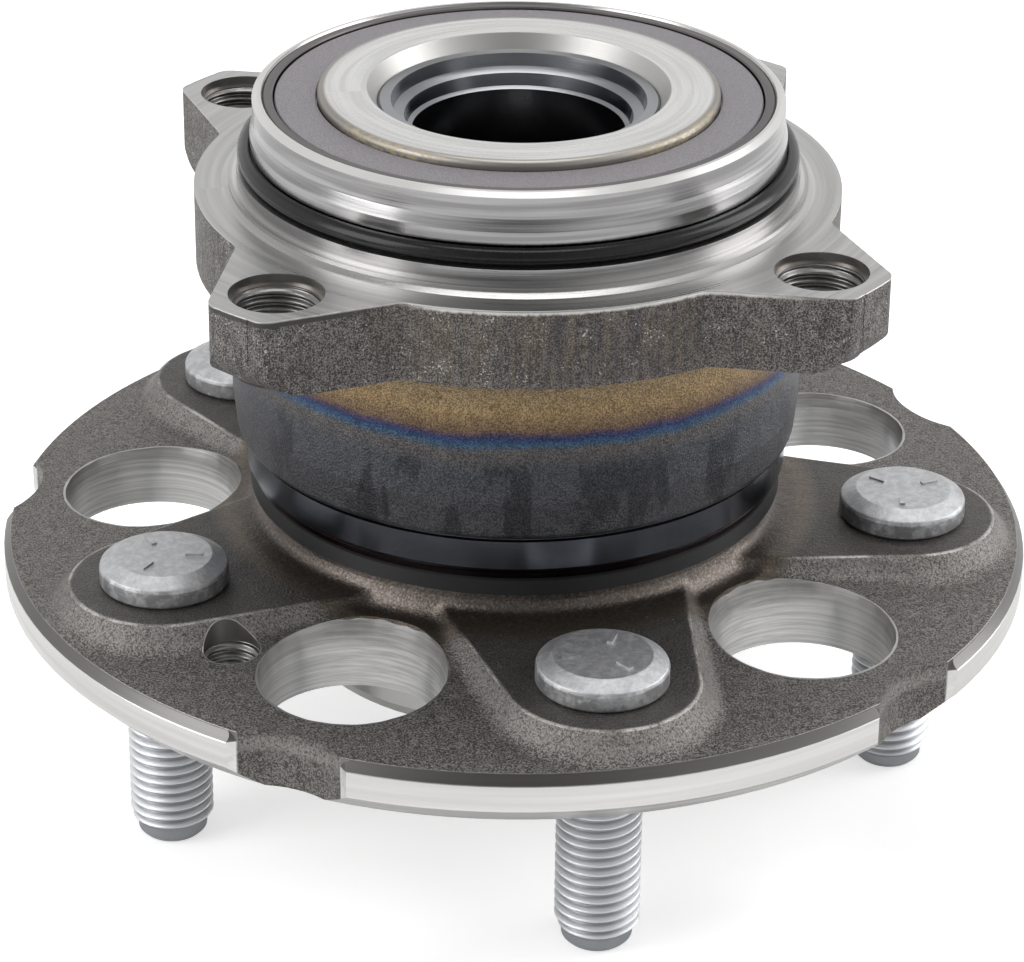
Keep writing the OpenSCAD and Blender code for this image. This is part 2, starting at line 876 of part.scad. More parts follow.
outer_ring();
knuckle_o_ring();
inboard_seal_case();
inboard_seal_lips();
outboard_seal_case();
outboard_seal_lips();
hub();
inner_ring();
inboard_slinger();
encoder_ring();
for (i = [1:stud_count])
    wheel_stud(i - 1);
inboard_cage();
outboard_cage();
for (i = [1:ball_count]) {
    ball(i, row_in_z);
    ball(i, row_out_z);
}
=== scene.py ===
import math

import bmesh
import bpy
import numpy as np
from mathutils import Matrix, Vector


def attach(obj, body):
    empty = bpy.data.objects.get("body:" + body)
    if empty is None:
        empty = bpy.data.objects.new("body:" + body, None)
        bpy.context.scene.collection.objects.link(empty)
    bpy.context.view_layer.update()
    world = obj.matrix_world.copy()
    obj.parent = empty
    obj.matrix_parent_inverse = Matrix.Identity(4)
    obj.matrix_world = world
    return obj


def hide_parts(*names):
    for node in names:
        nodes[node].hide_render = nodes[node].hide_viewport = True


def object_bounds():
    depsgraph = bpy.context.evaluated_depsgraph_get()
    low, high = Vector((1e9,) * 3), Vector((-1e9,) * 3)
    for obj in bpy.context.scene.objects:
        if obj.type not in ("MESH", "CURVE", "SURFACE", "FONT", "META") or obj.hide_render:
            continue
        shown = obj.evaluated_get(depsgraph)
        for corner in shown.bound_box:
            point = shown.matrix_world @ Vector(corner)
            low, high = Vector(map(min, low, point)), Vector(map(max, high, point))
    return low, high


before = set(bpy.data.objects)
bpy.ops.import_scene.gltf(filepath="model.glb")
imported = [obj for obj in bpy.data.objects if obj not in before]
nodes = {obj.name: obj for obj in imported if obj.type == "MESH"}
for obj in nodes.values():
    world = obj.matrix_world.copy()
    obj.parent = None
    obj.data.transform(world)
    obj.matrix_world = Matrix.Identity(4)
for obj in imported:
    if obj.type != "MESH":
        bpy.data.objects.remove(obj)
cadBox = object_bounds()
scene = bpy.context.scene
mm = 0.001
print("frame loaded:", len(nodes), "nodes")

# Places that several pieces and finishes share, in millimetres and degrees.
layout = {
    "studCircle": 57.15, "studAngle": -84.9, "studs": 5, "boltCircle": 52.0, "boltAngle": 45, "bolts": 4,
    "windowCircle": 54.5, "scallopCircle": 85.39, "screwCircle": 58.4, "screwAngle": -138.9, "screws": 2,
}
layout["windowAngle"] = layout["studAngle"] + 36


# Node graphs are written through this, so that a link or a plain value goes in the same way.
class Graph:
    def __init__(self, tree):
        self.tree = tree

    def put(self, socket, value):
        if isinstance(value, bpy.types.NodeSocket):
            self.tree.links.new(value, socket)
        elif value is not None:
            socket.default_value = value

    def add(self, kind, values=None, **settings):
        node = self.tree.nodes.new(kind)
        for name, value in settings.items():
            setattr(node, name, value)
        for key, value in (values or {}).items():
            self.put(node.inputs[key], value)
        return node

    def calc(self, operation, a, b=None, c=None, clamp=False):
        return self.add("ShaderNodeMath", {0: a, 1: b, 2: c}, operation=operation, use_clamp=clamp).outputs[0]

    def times(self, a, b, clamp=False):
        return self.calc("MULTIPLY", a, b, clamp=clamp)

    def vector(self, x=0.0, y=0.0, z=0.0):
        return self.add("ShaderNodeCombineXYZ", {0: x, 1: y, 2: z}).outputs[0]

    # 0 below start and 1 above end, or the other way round where start is the larger
    def step(self, value, start, end):
        if start < end:
            values = {"Value": value, "From Min": start, "From Max": end, "To Min": 0.0, "To Max": 1.0}
        else:
            values = {"Value": value, "From Min": end, "From Max": start, "To Min": 1.0, "To Max": 0.0}
        return self.add("ShaderNodeMapRange", values, interpolation_type="SMOOTHSTEP").outputs[0]

    def span(self, value, low, high, soft):
        return self.times(self.step(value, low - soft, low + soft), self.step(value, high + soft, high - soft))

    def fit(self, value, low, high):
        values = {"Value": value, "From Min": 0.0, "From Max": 1.0, "To Min": low, "To Max": high}
        return self.add("ShaderNodeMapRange", values).outputs[0]

    def noise(self, vector, scale, detail=2.0, rough=0.5):
        values = {"Vector": vector, "Scale": scale, "Detail": detail, "Roughness": rough}
        return self.add("ShaderNodeTexNoise", values).outputs["Fac"]

    def cells(self, vector, scale, feature="F1"):
        return self.add("ShaderNodeTexVoronoi", {"Vector": vector, "Scale": scale}, feature=feature).outputs["Distance"]

    def blend(self, factor, a, b, mode="MIX"):
        node = self.add("ShaderNodeMix", data_type="RGBA", blend_type=mode)
        self.put(node.inputs[0], factor)
        self.put(node.inputs[6], a)
        self.put(node.inputs[7], b)
        return node.outputs[2]

    def between(self, factor, a, b):
        node = self.add("ShaderNodeMix", data_type="FLOAT")
        self.put(node.inputs[0], factor)
        self.put(node.inputs[2], a)
        self.put(node.inputs[3], b)
        return node.outputs[0]

    def ramp(self, value, stops):
        node = self.add("ShaderNodeValToRGB", {0: value})
        bar = node.color_ramp.elements
        while len(bar) < len(stops):
            bar.new(0.5)
        for item, (place, colour) in zip(bar, stops):
            item.position = place
            item.color = rgb(*colour)
        return node.outputs[0]

    def group(self, tree, values=None):
        node = self.add("ShaderNodeGroup", node_tree=tree)
        for key, value in (values or {}).items():
            self.put(node.inputs[key], value)
        return node.outputs


def rgb(r, g, b):
    return (r, g, b, 1.0)


def newGroup(name, ins, outs):
    tree = bpy.data.node_groups.new(name, "ShaderNodeTree")
    kinds = {"f": "NodeSocketFloat", "v": "NodeSocketVector", "c": "NodeSocketColor"}
    for label, kind, *value in ins:
        socket = tree.interface.new_socket(name=label, in_out="INPUT", socket_type=kinds[kind])
        if value:
            socket.default_value = value[0]
    for label, kind in outs:
        tree.interface.new_socket(name=label, in_out="OUTPUT", socket_type=kinds[kind])
    graph = Graph(tree)
    return tree, graph, graph.add("NodeGroupInput").outputs, graph.add("NodeGroupOutput")


# Where a point lies on a turned part: radius, height and angle, in millimetres and radians.
def makePlace():
    tree, g, given, out = newGroup(
        "turnedPlace", [("Point", "v")], [("Radius", "f"), ("Height", "f"), ("Angle", "f"), ("Point mm", "v")]
    )
    scaled = g.add("ShaderNodeVectorMath", {0: given["Point"], 3: 1000.0}, operation="SCALE").outputs[0]
    parts = g.add("ShaderNodeSeparateXYZ", {0: scaled}).outputs
    flat = g.vector(parts[0], parts[1], 0.0)
    g.put(out.inputs["Radius"], g.add("ShaderNodeVectorMath", {0: flat}, operation="LENGTH").outputs["Value"])
    g.put(out.inputs["Height"], parts[2])
    g.put(out.inputs["Angle"], g.calc("ARCTAN2", parts[1], parts[0]))
    g.put(out.inputs["Point mm"], scaled)
    return tree


# Fine grooves that a lathe tool leaves round the axis, and broader bands of gloss.
def makeTurned():
    ins = [("Radius", "f"), ("Height", "f"), ("Angle", "f"), ("Pitch", "f", 0.25)]
    tree, g, given, out = newGroup("turnedLines", ins, [("Groove", "f"), ("Band", "f")])
    across = g.calc("DIVIDE", given["Radius"], given["Pitch"])
    along = g.calc("DIVIDE", given["Height"], given["Pitch"])
    g.put(out.inputs["Groove"], g.noise(g.vector(across, along, g.times(given["Angle"], 0.7)), 1.0, 3.0, 0.65))
    slow = g.vector(g.times(across, 0.16), g.times(along, 0.16), g.times(given["Angle"], 0.9))
    g.put(out.inputs["Band"], g.noise(slow, 1.0, 2.0, 0.6))
    return tree


# Skin of a hot forging after shot blasting: fine dimples, soft swells, mottled oxide and small pits.
def makeForged():
    ins = [("Point mm", "v"), ("Grain", "f", 0.5)]
    tree, g, given, out = newGroup("forgedSkin", ins, [("Relief", "f"), ("Mottle", "f"), ("Sparkle", "f")])
    p, size = given["Point mm"], given["Grain"]
    dimple = g.cells(p, g.calc("DIVIDE", 1.0, size), "SMOOTH_F1")
    fine = g.noise(p, g.calc("DIVIDE", 1.7, size), 3.0, 0.7)
    swell = g.noise(p, 0.28, 3.0, 0.55)
    pit = g.step(g.noise(p, 0.9, 4.0, 0.75), 0.37, 0.3)
    stipple = g.noise(p, g.calc("DIVIDE", 1.35, size), 2.0, 0.6)
    relief = g.calc("ADD", g.times(dimple, 0.45), g.times(fine, 0.55))
    relief = g.calc("MULTIPLY_ADD", swell, 1.4, relief)
    g.put(out.inputs["Relief"], g.calc("MULTIPLY_ADD", pit, -0.5, relief))
    cloud = g.noise(p, 0.7, 5.0, 0.72)
    g.put(
        out.inputs["Mottle"],
        g.calc("MULTIPLY_ADD", g.calc("SUBTRACT", stipple, 0.5), 1.5, g.calc("MULTIPLY_ADD", cloud, 0.45, 0.28))
    )
    # Sparkle: painted glints on the peaks of the fine relief
    g.put(out.inputs["Sparkle"], g.step(fine, 0.6, 0.72))
    return tree


# Oxide colours along Heat from 0 to 1: grey, blue, purple, brown and straw.
def makeTint():
    tree, g, given, out = newGroup("heatTint", [("Heat", "f")], [("Colour", "c")])
    stops = [
        (0.0, (0.085, 0.086, 0.094)), (0.30, (0.088, 0.092, 0.108)), (0.45, (0.13, 0.12, 0.115)),
        (0.50, (0.06, 0.115, 0.19)), (0.545, (0.035, 0.06, 0.16)), (0.575, (0.10, 0.07, 0.11)),
        (0.615, (0.20, 0.135, 0.085)), (0.75, (0.37, 0.26, 0.135)), (1.0, (0.29, 0.225, 0.145)),
    ]
    g.put(out.inputs["Colour"], g.ramp(given["Heat"], stops))
    return tree


# Mask of small specks, gathered in patches, where scale has chipped off.
def makeSpecks():
    ins = [("Point mm", "v"), ("Scale", "f", 1.0), ("Amount", "f", 0.5)]
    tree, g, given, out = newGroup("specks", ins, [("Mask", "f")])
    dots = g.noise(given["Point mm"], g.times(given["Scale"], 3.0), 2.0, 0.6)
    patch = g.noise(given["Point mm"], g.times(given["Scale"], 0.35), 2.0, 0.5)
    level = g.calc("MULTIPLY_ADD", patch, 0.5, dots)
    edge = g.calc("SUBTRACT", 1.28, g.times(given["Amount"], 0.5))
    g.put(out.inputs["Mask"], g.times(g.calc("SUBTRACT", level, edge), 12.0, clamp=True))
    return tree


# A circle folded into equal parts: how far a point lies out along the middle of its part, and to the side.
def makeFold():
    ins = [("Radius", "f"), ("Angle", "f"), ("Middle", "f"), ("Count", "f", 5.0)]
    tree, g, given, out = newGroup("flangeFold", ins, [("Out", "f"), ("Side", "f")])
    turn = g.times(g.calc("SUBTRACT", given["Angle"], given["Middle"]), g.calc("DIVIDE", given["Count"], math.tau))
    part = g.calc("SUBTRACT", g.calc("FRACT", g.calc("ADD", turn, 0.5)), 0.5)
    angle = g.calc("DIVIDE", g.times(part, math.tau), given["Count"])
    g.put(out.inputs["Out"], g.times(given["Radius"], g.calc("COSINE", angle)))
    g.put(out.inputs["Side"], g.times(given["Radius"], g.calc("SINE", angle)))
    return tree


turnedPlace, turnedLines, forgedSkin = makePlace(), makeTurned(), makeForged()
heatTint, specks, flangeFold = makeTint(), makeSpecks(), makeFold()


# A material starts as one plain finish, and each layer is laid over it where its mask is 1.
class Finish(Graph):
    def __init__(self, name, colour, rough, metal):
        self.material = bpy.data.materials.new(name)
        self.material.use_nodes = True
        super().__init__(self.material.node_tree)
        self.shader = self.tree.nodes["Principled BSDF"]
        self.now = {"colour": rgb(*colour), "rough": rough, "metal": metal, "bump": 0.0}
        spot = self.add("ShaderNodeTexCoord")
        self.place = self.group(turnedPlace, {"Point": spot.outputs["Object"]})
        self.radius, self.height = self.place["Radius"], self.place["Height"]
        self.angle, self.point = self.place["Angle"], self.place["Point mm"]
        self.up = self.add("ShaderNodeSeparateXYZ", {0: spot.outputs["Normal"]}).outputs[2]

    def layer(self, mask, **values):
        for key, value in values.items():
            if key == "colour":
                value = rgb(*value) if isinstance(value, tuple) else value
                self.now[key] = self.blend(mask, self.now[key], value)
            else:
                self.now[key] = self.between(mask, self.now[key], value)

    def forged(self, grain):
        return self.group(forgedSkin, {"Point mm": self.point, "Grain": grain})

    def turned(self, pitch):
        values = {"Radius": self.radius, "Height": self.height, "Angle": self.angle, "Pitch": pitch}
        return self.group(turnedLines, values)

    # distance from the nearest of several centres on a circle
    def fromCentre(self, circle, middle, count):
        values = {"Radius": self.radius, "Angle": self.angle, "Middle": math.radians(middle), "Count": float(count)}
        fold = self.group(flangeFold, values)
        away = self.vector(self.calc("SUBTRACT", fold["Out"], circle), fold["Side"], 0.0)
        return self.add("ShaderNodeVectorMath", {0: away}, operation="LENGTH").outputs["Value"]

    def both(self, *masks):
        result = masks[0]
        for mask in masks[1:]:
            result = self.times(result, mask)
        return result

    def done(self, **sockets):
        self.put(self.shader.inputs["Base Color"], self.now["colour"])
        self.put(self.shader.inputs["Roughness"], self.now["rough"])
        self.put(self.shader.inputs["Metallic"], self.now["metal"])
        if isinstance(self.now["bump"], bpy.types.NodeSocket):
            bump = self.add("ShaderNodeBump", {"Height": self.now["bump"], "Distance": mm, "Strength": 1.0})
            self.put(self.shader.inputs["Normal"], bump.outputs[0])
        for name, value in sockets.items():
            self.shader.inputs[name.replace("_", " ")].default_value = value
        return self.material


def makeRingSteel():
    look = {
        "face": 62.1, "flangeLow": 50.7, "barrel": 41.2, "boltHole": 6.6, "band": 24.6, "spigot": 40.0,
        "sealBore": 36.3, "grain": 0.3, "groove": 0.22, "relief": 0.17, "heatLow": 30.0, "heatSpan": 19.5,
        "heatWave": 3.2, "frontBrownShade": 0.36, "frontVioletShade": 0.4, "chips": 0.72,
    }
    f = Finish("ringSteel", (0.21, 0.19, 0.172), 0.5, 0.85)
    skin, lines = f.forged(look["grain"]), f.turned(look["groove"])
    flangeSide = f.step(f.height, look["flangeLow"] - 1, look["flangeLow"] + 1)
    mottle = f.step(skin["Mottle"], 0.38, 0.66)
    # forged sides of the flange, the same oxide skin all round
    f.now["colour"] = f.blend(mottle, rgb(0.055, 0.052, 0.051), rgb(0.235, 0.222, 0.212))
    # brown and violet oxide patches only on the front sector of the flange sides, darkening it there: partly oxide
    # tint, partly painted shade
    drip = f.noise(f.vector(f.times(f.angle, 42.0), f.times(f.height, 0.06), 0.0), 1.0, 4.0, 0.65)
    frontBrownShade = f.both(flangeSide, f.span(f.angle, -2.05, -1.05, 0.2), f.step(drip, 0.36, 0.64))
    f.layer(f.times(frontBrownShade, look["frontBrownShade"]), colour=(0.14, 0.10, 0.064))
    frontVioletShade = f.both(flangeSide, f.span(f.angle, -1.72, -1.15, 0.1), f.step(drip, 0.6, 0.4))
    f.layer(f.times(frontVioletShade, look["frontVioletShade"]), colour=(0.042, 0.032, 0.045))
    streak = f.both(
        flangeSide,
        f.step(f.noise(f.vector(f.times(f.angle, 85.0), f.times(f.height, 0.1), 2.0), 1.0, 3.0, 0.6), 0.52, 0.66)
    )
    f.layer(f.times(streak, 0.45), colour=(0.045, 0.04, 0.038))
    chips = f.group(specks, {"Point mm": f.point, "Scale": 1.0, "Amount": look["chips"]})["Mask"]
    f.layer(f.times(f.both(flangeSide, chips), 0.8), colour=(0.62, 0.60, 0.57), rough=0.35)
    # burr that the face mill left along the upper edge
    ragged = f.noise(f.vector(f.times(f.angle, 30.0), 0.0, 0.0), 1.0, 4.0, 0.7)
    burr = f.both(flangeSide, f.step(f.calc("ADD", f.height, ragged), look["face"] - 0.35, look["face"] + 0.1))
    f.layer(
        f.both(burr, f.span(f.angle, -1.98, -0.95, 0.08), f.step(ragged, 0.3, 0.45)), colour=(0.64, 0.625, 0.60),
        rough=0.3
    )
    broken = f.both(
        flangeSide, f.step(f.height, look["face"] - 1.1, look["face"] - 0.85),
        f.step(f.calc("COSINE", f.calc("SUBTRACT", f.angle, -2.36)), 0.955, 0.985)
    )
    f.layer(broken, colour=(0.065, 0.062, 0.06), rough=0.4)
    # barrel with its bands of oxide colour
    barrel = f.both(
        f.step(f.radius, look["barrel"] + 0.5, look["barrel"] + 0.15),
        f.step(f.height, look["flangeLow"] + 0.6, look["flangeLow"] - 0.4)
    )
    wobble = f.noise(f.vector(f.times(f.angle, 2.2), f.times(f.height, 0.06), 0.0), 1.0, 3.0, 0.55)
    heat = f.calc("MULTIPLY_ADD", f.calc("SUBTRACT", wobble, 0.5), look["heatWave"], f.height)
    heat = f.calc("DIVIDE", f.calc("SUBTRACT", heat, look["heatLow"]), look["heatSpan"], clamp=True)
    tint = f.group(heatTint, {"Heat": heat})["Colour"]
    tint = f.blend(0.24, tint, rgb(0.022, 0.020, 0.020))
    f.layer(
        barrel, colour=f.blend(1.0, tint, f.blend(mottle, rgb(0.6, 0.6, 0.6), rgb(1.45, 1.45, 1.45)), "MULTIPLY"),
        rough=f.fit(skin["Mottle"], 0.34, 0.48)
    )
    run = f.noise(f.vector(f.times(f.angle, 6.5), f.times(f.height, 0.045), 3.0), 1.0, 3.0, 0.55)
    stain = f.both(
        barrel, f.step(run, 0.52, 0.58), f.span(f.calc("MULTIPLY_ADD", run, 14.0, f.height), 33.0, 45.0, 1.5)
    )
    f.layer(f.times(stain, 0.6), colour=f.blend(1.0, f.now["colour"], rgb(0.32, 0.32, 0.34), "MULTIPLY"), rough=0.3)
    f.layer(1.0, bump=f.times(skin["Relief"], look["relief"]))
    # turned band under the barrel, dark and glossy
    band = f.both(f.step(f.height, look["band"] + 0.1, look["band"] - 0.1), f.step(f.radius, 39.9, 39.7))
    f.layer(band, colour=(0.115, 0.121, 0.142), rough=0.2, metal=1.0, bump=f.times(lines["Groove"], 0.006))
    # turned faces: knuckle face with its steps, spigot, seal bore and holes
    top = f.both(f.step(f.height, look["face"] - 0.35, look["face"] - 0.12), f.step(f.radius, 35.0, 36.0))
    satin = f.blend(f.step(lines["Band"], 0.2, 0.8), rgb(0.38, 0.375, 0.37), rgb(0.54, 0.535, 0.53))
    f.layer(top, colour=satin, rough=f.fit(lines["Band"], 0.22, 0.36), metal=1.0, bump=f.times(lines["Groove"], 0.028))
    spigot = f.both(
        f.step(f.height, look["face"] + 0.2, look["face"] + 0.4),
        f.step(f.radius, look["spigot"] + 0.9, look["spigot"] + 0.4)
    )
    polished = f.blend(f.step(lines["Band"], 0.4, 0.62), rgb(0.27, 0.265, 0.267), rgb(0.42, 0.415, 0.415))
    f.layer(spigot, colour=polished, rough=f.fit(lines["Band"], 0.14, 0.26), bump=f.times(lines["Groove"], 0.012))
    end = f.both(spigot, f.step(f.up, 0.6, 0.8))
    f.layer(end, colour=(0.66, 0.65, 0.64), rough=0.3)
    inside = f.step(f.radius, look["sealBore"], look["sealBore"] - 0.15)
    f.layer(inside, colour=(0.42, 0.41, 0.40), rough=0.22, metal=1.0, bump=f.times(lines["Groove"], 0.008))
    fromHole = f.fromCentre(layout["boltCircle"], layout["boltAngle"], layout["bolts"])
    bored = f.both(
        f.step(fromHole, look["boltHole"], look["boltHole"] - 0.05),
        f.step(f.height, look["face"] - 0.02, look["face"] - 0.1)
    )
    f.layer(bored, colour=(0.36, 0.345, 0.33), rough=0.32, metal=1.0, bump=0.0)
    return f.done()


def makeHubSteel():
    look = {
        "windowR": 13.34, "rim": 75.35, "rimFace": 6.8, "armTop": 12.0, "scallopR": 13.89, "screwR": 4.1,
        "lipLow": 58.0, "boreR": 20.2, "pilotR": 33.3, "grain": 0.36, "groove": 0.3, "relief": 0.2, "sparkle": 0.4,
        "chips": 0.42,
    }
    f = Finish("hubSteel", (0.12, 0.11, 0.10), 0.5, 0.85)
    skin, lines = f.forged(look["grain"]), f.turned(look["groove"])
    mottle = f.step(skin["Mottle"], 0.36, 0.68)
    f.now["colour"] = f.blend(mottle, rgb(0.065, 0.061, 0.058), rgb(0.235, 0.222, 0.21))
    f.now["rough"] = f.fit(skin["Mottle"], 0.42, 0.6)
    # painted glints on the forged skin
    f.layer(f.times(skin["Sparkle"], look["sparkle"]), colour=(0.42, 0.40, 0.38))
    chips = f.group(specks, {"Point mm": f.point, "Scale": 0.8, "Amount": look["chips"]})["Mask"]
    f.layer(f.times(chips, 0.7), colour=(0.5, 0.48, 0.46), rough=0.35)
    f.layer(1.0, bump=f.times(skin["Relief"], look["relief"]))
    # arms: flat tops painted dark as painted shade, a bright line along their edge as a painted highlight broken up
    # like wear, and blasted slopes painted brighter as a painted highlight
    onArm = f.step(f.height, look["armTop"] - 3.2, look["armTop"] - 2.2)
    grain = f.noise(f.point, 2.6, 3.0, 0.7)
    # painted highlight: tilted arm slopes painted brighter
    litSlope = f.both(onArm, f.step(f.up, 0.985, 0.8), f.step(grain, 0.36, 0.62))
    f.layer(f.times(litSlope, 0.5), colour=(0.285, 0.272, 0.26), rough=0.4)
    # painted shade: the flat tops of the arms painted dark
    seat = f.both(
        f.step(f.height, look["armTop"] - 0.2, look["armTop"] - 0.02), f.step(f.up, 0.96, 0.99),
        f.step(f.radius, 42.0, 46.0)
    )
    f.layer(f.times(seat, 0.62), colour=(0.05, 0.047, 0.046), rough=0.45)
    # painted highlight along the edge of the arm tops, broken up by a wear pattern
    crestGlint = f.both(
        f.step(f.height, look["armTop"] - 0.6, look["armTop"] - 0.35), f.span(f.up, 0.82, 0.975, 0.03),
        f.step(f.radius, 41.0, 44.0)
    )
    glintWear = f.times(f.step(f.noise(f.point, 0.22, 2.0, 0.6), 0.38, 0.62), f.step(grain, 0.3, 0.5))
    f.layer(f.both(crestGlint, f.fit(glintWear, 0.12, 0.85)), colour=(0.50, 0.48, 0.46), rough=0.32)
    # broken-out walls of the scallops, rubbed bright along their middle
    fromScallop = f.fromCentre(layout["scallopCircle"], layout["windowAngle"], layout["studs"])
    ridge = f.both(
        f.step(fromScallop, look["scallopR"] + 0.2, look["scallopR"] + 0.1), f.span(f.height, 5.4, 7.6, 0.7),
        f.step(grain, 0.36, 0.6)
    )
    f.layer(f.times(ridge, 0.6), colour=(0.34, 0.325, 0.31), rough=0.4)
    # smooth root of the boss, tinted by induction hardening
    root = f.both(f.step(f.radius, 46.0, 42.5), f.step(f.height, 8.0, 9.5))
    heat = f.calc("MULTIPLY_ADD", f.step(f.radius, 38.0, 44.0), 0.12, 0.62)
    tint = f.blend(0.55, f.group(heatTint, {"Heat": heat})["Colour"], rgb(0.08, 0.077, 0.079))
    f.layer(
        root,
        colour=f.blend(
            f.times(f.step(grain, 0.42, 0.66), 0.4), f.blend(0.5, tint, rgb(0.035, 0.033, 0.034)),
            rgb(0.235, 0.228, 0.222)
        ),
        rough=0.34, bump=f.times(skin["Relief"], 0.08)
    )
    # machined rim, broken off at the forged scallops
    rim = f.both(f.step(f.radius, look["rim"] - 1.2, look["rim"] - 0.95), f.step(f.height, 0.1, 0.3))
    f.layer(
        rim, colour=f.blend(f.step(lines["Band"], 0.3, 0.75), rgb(0.60, 0.59, 0.58), rgb(0.74, 0.73, 0.72)), rough=0.26,
        metal=1.0, bump=f.times(lines["Groove"], 0.02)
    )
    chamfer = f.both(
        f.step(f.radius, look["rim"] - 1.12, look["rim"] - 1.0),
        f.step(f.height, look["rimFace"] + 0.05, look["rimFace"] + 0.15)
    )
    f.layer(chamfer, colour=f.blend(lines["Band"], rgb(0.10, 0.097, 0.095), rgb(0.17, 0.165, 0.16)), rough=0.36)
    # windows, drilled through with a core drill
    fromMiddle = f.fromCentre(layout["windowCircle"], layout["windowAngle"], layout["studs"])
    window = f.both(f.step(fromMiddle, look["windowR"], look["windowR"] - 0.05), f.step(f.height, -0.5, 0.0))
    scratch = f.noise(f.vector(f.times(f.height, 2.2), f.times(f.angle, 5.0), 0.0), 1.0, 4.0, 0.7)
    f.layer(
        window, colour=f.blend(f.step(scratch, 0.3, 0.7), rgb(0.37, 0.365, 0.36), rgb(0.58, 0.575, 0.57)), rough=0.34,
        metal=1.0, bump=f.times(scratch, 0.03)
    )
    # drilled and tapped holes for the disc's screws, a pair on one line through the axis
    fromScrew = f.fromCentre(layout["screwCircle"], layout["screwAngle"] + 180, layout["screws"])
    tapped = f.both(f.step(fromScrew, look["screwR"], look["screwR"] - 0.06), f.step(f.height, 0.1, 0.3))
    f.layer(tapped, colour=(0.42, 0.41, 0.40), rough=0.32, metal=1.0, bump=0.0)
    # turned wheel face, pilot and bore
    under = f.both(f.step(f.up, -0.5, -0.7), f.step(f.height, 6.5, 6.2))
    f.layer(
        under, colour=f.blend(f.step(lines["Band"], 0.35, 0.7), rgb(0.46, 0.45, 0.44), rgb(0.62, 0.61, 0.60)),
        rough=f.fit(lines["Band"], 0.24, 0.38), metal=1.0, bump=f.times(lines["Groove"], 0.03)
    )
    pilot = f.both(f.step(f.radius, look["pilotR"], look["pilotR"] - 0.2), f.step(f.height, 7.0, 6.4))
    f.layer(pilot, colour=(0.50, 0.49, 0.48), rough=0.28, metal=1.0, bump=f.times(lines["Groove"], 0.02))
    inBore = f.step(f.radius, look["boreR"], look["boreR"] - 0.2)
    bore = f.both(inBore, f.step(f.height, 6.5, 7.0))
    f.layer(bore, colour=(0.32, 0.315, 0.31), rough=0.16, metal=1.0, bump=f.times(lines["Groove"], 0.008))
    # mouth of the spindle, bluish and a little duller
    mouth = f.both(inBore, f.step(f.height, look["lipLow"] - 0.5, look["lipLow"]))
    f.layer(mouth, colour=(0.19, 0.195, 0.21), rough=0.2)
    lipEnd = f.both(mouth, f.step(f.up, 0.7, 0.9))
    f.layer(lipEnd, colour=(0.30, 0.305, 0.32), rough=0.3)
    return f.done()


def makeGroundSteel():
    look = {"chamferR": 21.6, "rolledR": 27.0, "edgeR": 27.5, "groove": 0.16}
    f = Finish("groundSteel", (0.66, 0.65, 0.635), 0.26, 1.0)
    lines = f.turned(look["groove"])
    f.now["colour"] = f.blend(f.step(lines["Band"], 0.3, 0.7), rgb(0.60, 0.595, 0.585), rgb(0.74, 0.735, 0.725))
    f.now["rough"] = f.fit(lines["Band"], 0.2, 0.34)
    f.layer(1.0, bump=f.times(lines["Groove"], 0.02))
    chamfer = f.both(f.step(f.radius, look["chamferR"], look["chamferR"] - 0.3), f.step(f.height, 60.0, 61.0))
    f.layer(chamfer, colour=(0.40, 0.395, 0.385), rough=0.42)
    # painted shade: the rounded outer edge of the face painted darker, with a brownish tone
    rolledEdgeShade = f.both(f.step(f.radius, look["rolledR"], look["rolledR"] + 0.7), f.step(f.height, 70.0, 71.0))
    f.layer(rolledEdgeShade, colour=(0.30, 0.285, 0.262), rough=0.42)
    # dried preservative and light rust in the gap at the outer edge
    crumbs = f.noise(f.point, 1.3, 4.0, 0.75)
    edge = f.both(f.step(f.radius, look["edgeR"], look["edgeR"] + 0.6), f.step(f.height, 72.0, 73.0))
    patches = f.calc("MAXIMUM", f.span(f.angle, -1.1, -0.4, 0.12), f.span(f.angle, -2.7, -2.1, 0.12))
    f.layer(
        f.times(f.both(edge, patches, f.step(crumbs, 0.46, 0.56)), 0.8), colour=(0.42, 0.35, 0.23), rough=0.6, metal=0.4
    )
    return f.done()


def makeThreadSteel():
    f = Finish("threadSteel", (0.2, 0.195, 0.19), 0.32, 1.0)
    f.now["colour"] = f.blend(f.noise(f.point, 1.5, 3.0, 0.6), rgb(0.11, 0.107, 0.105), rgb(0.30, 0.295, 0.29))
    f.layer(1.0, bump=f.times(f.noise(f.point, 5.0, 2.0, 0.5), 0.006))
    return f.done()


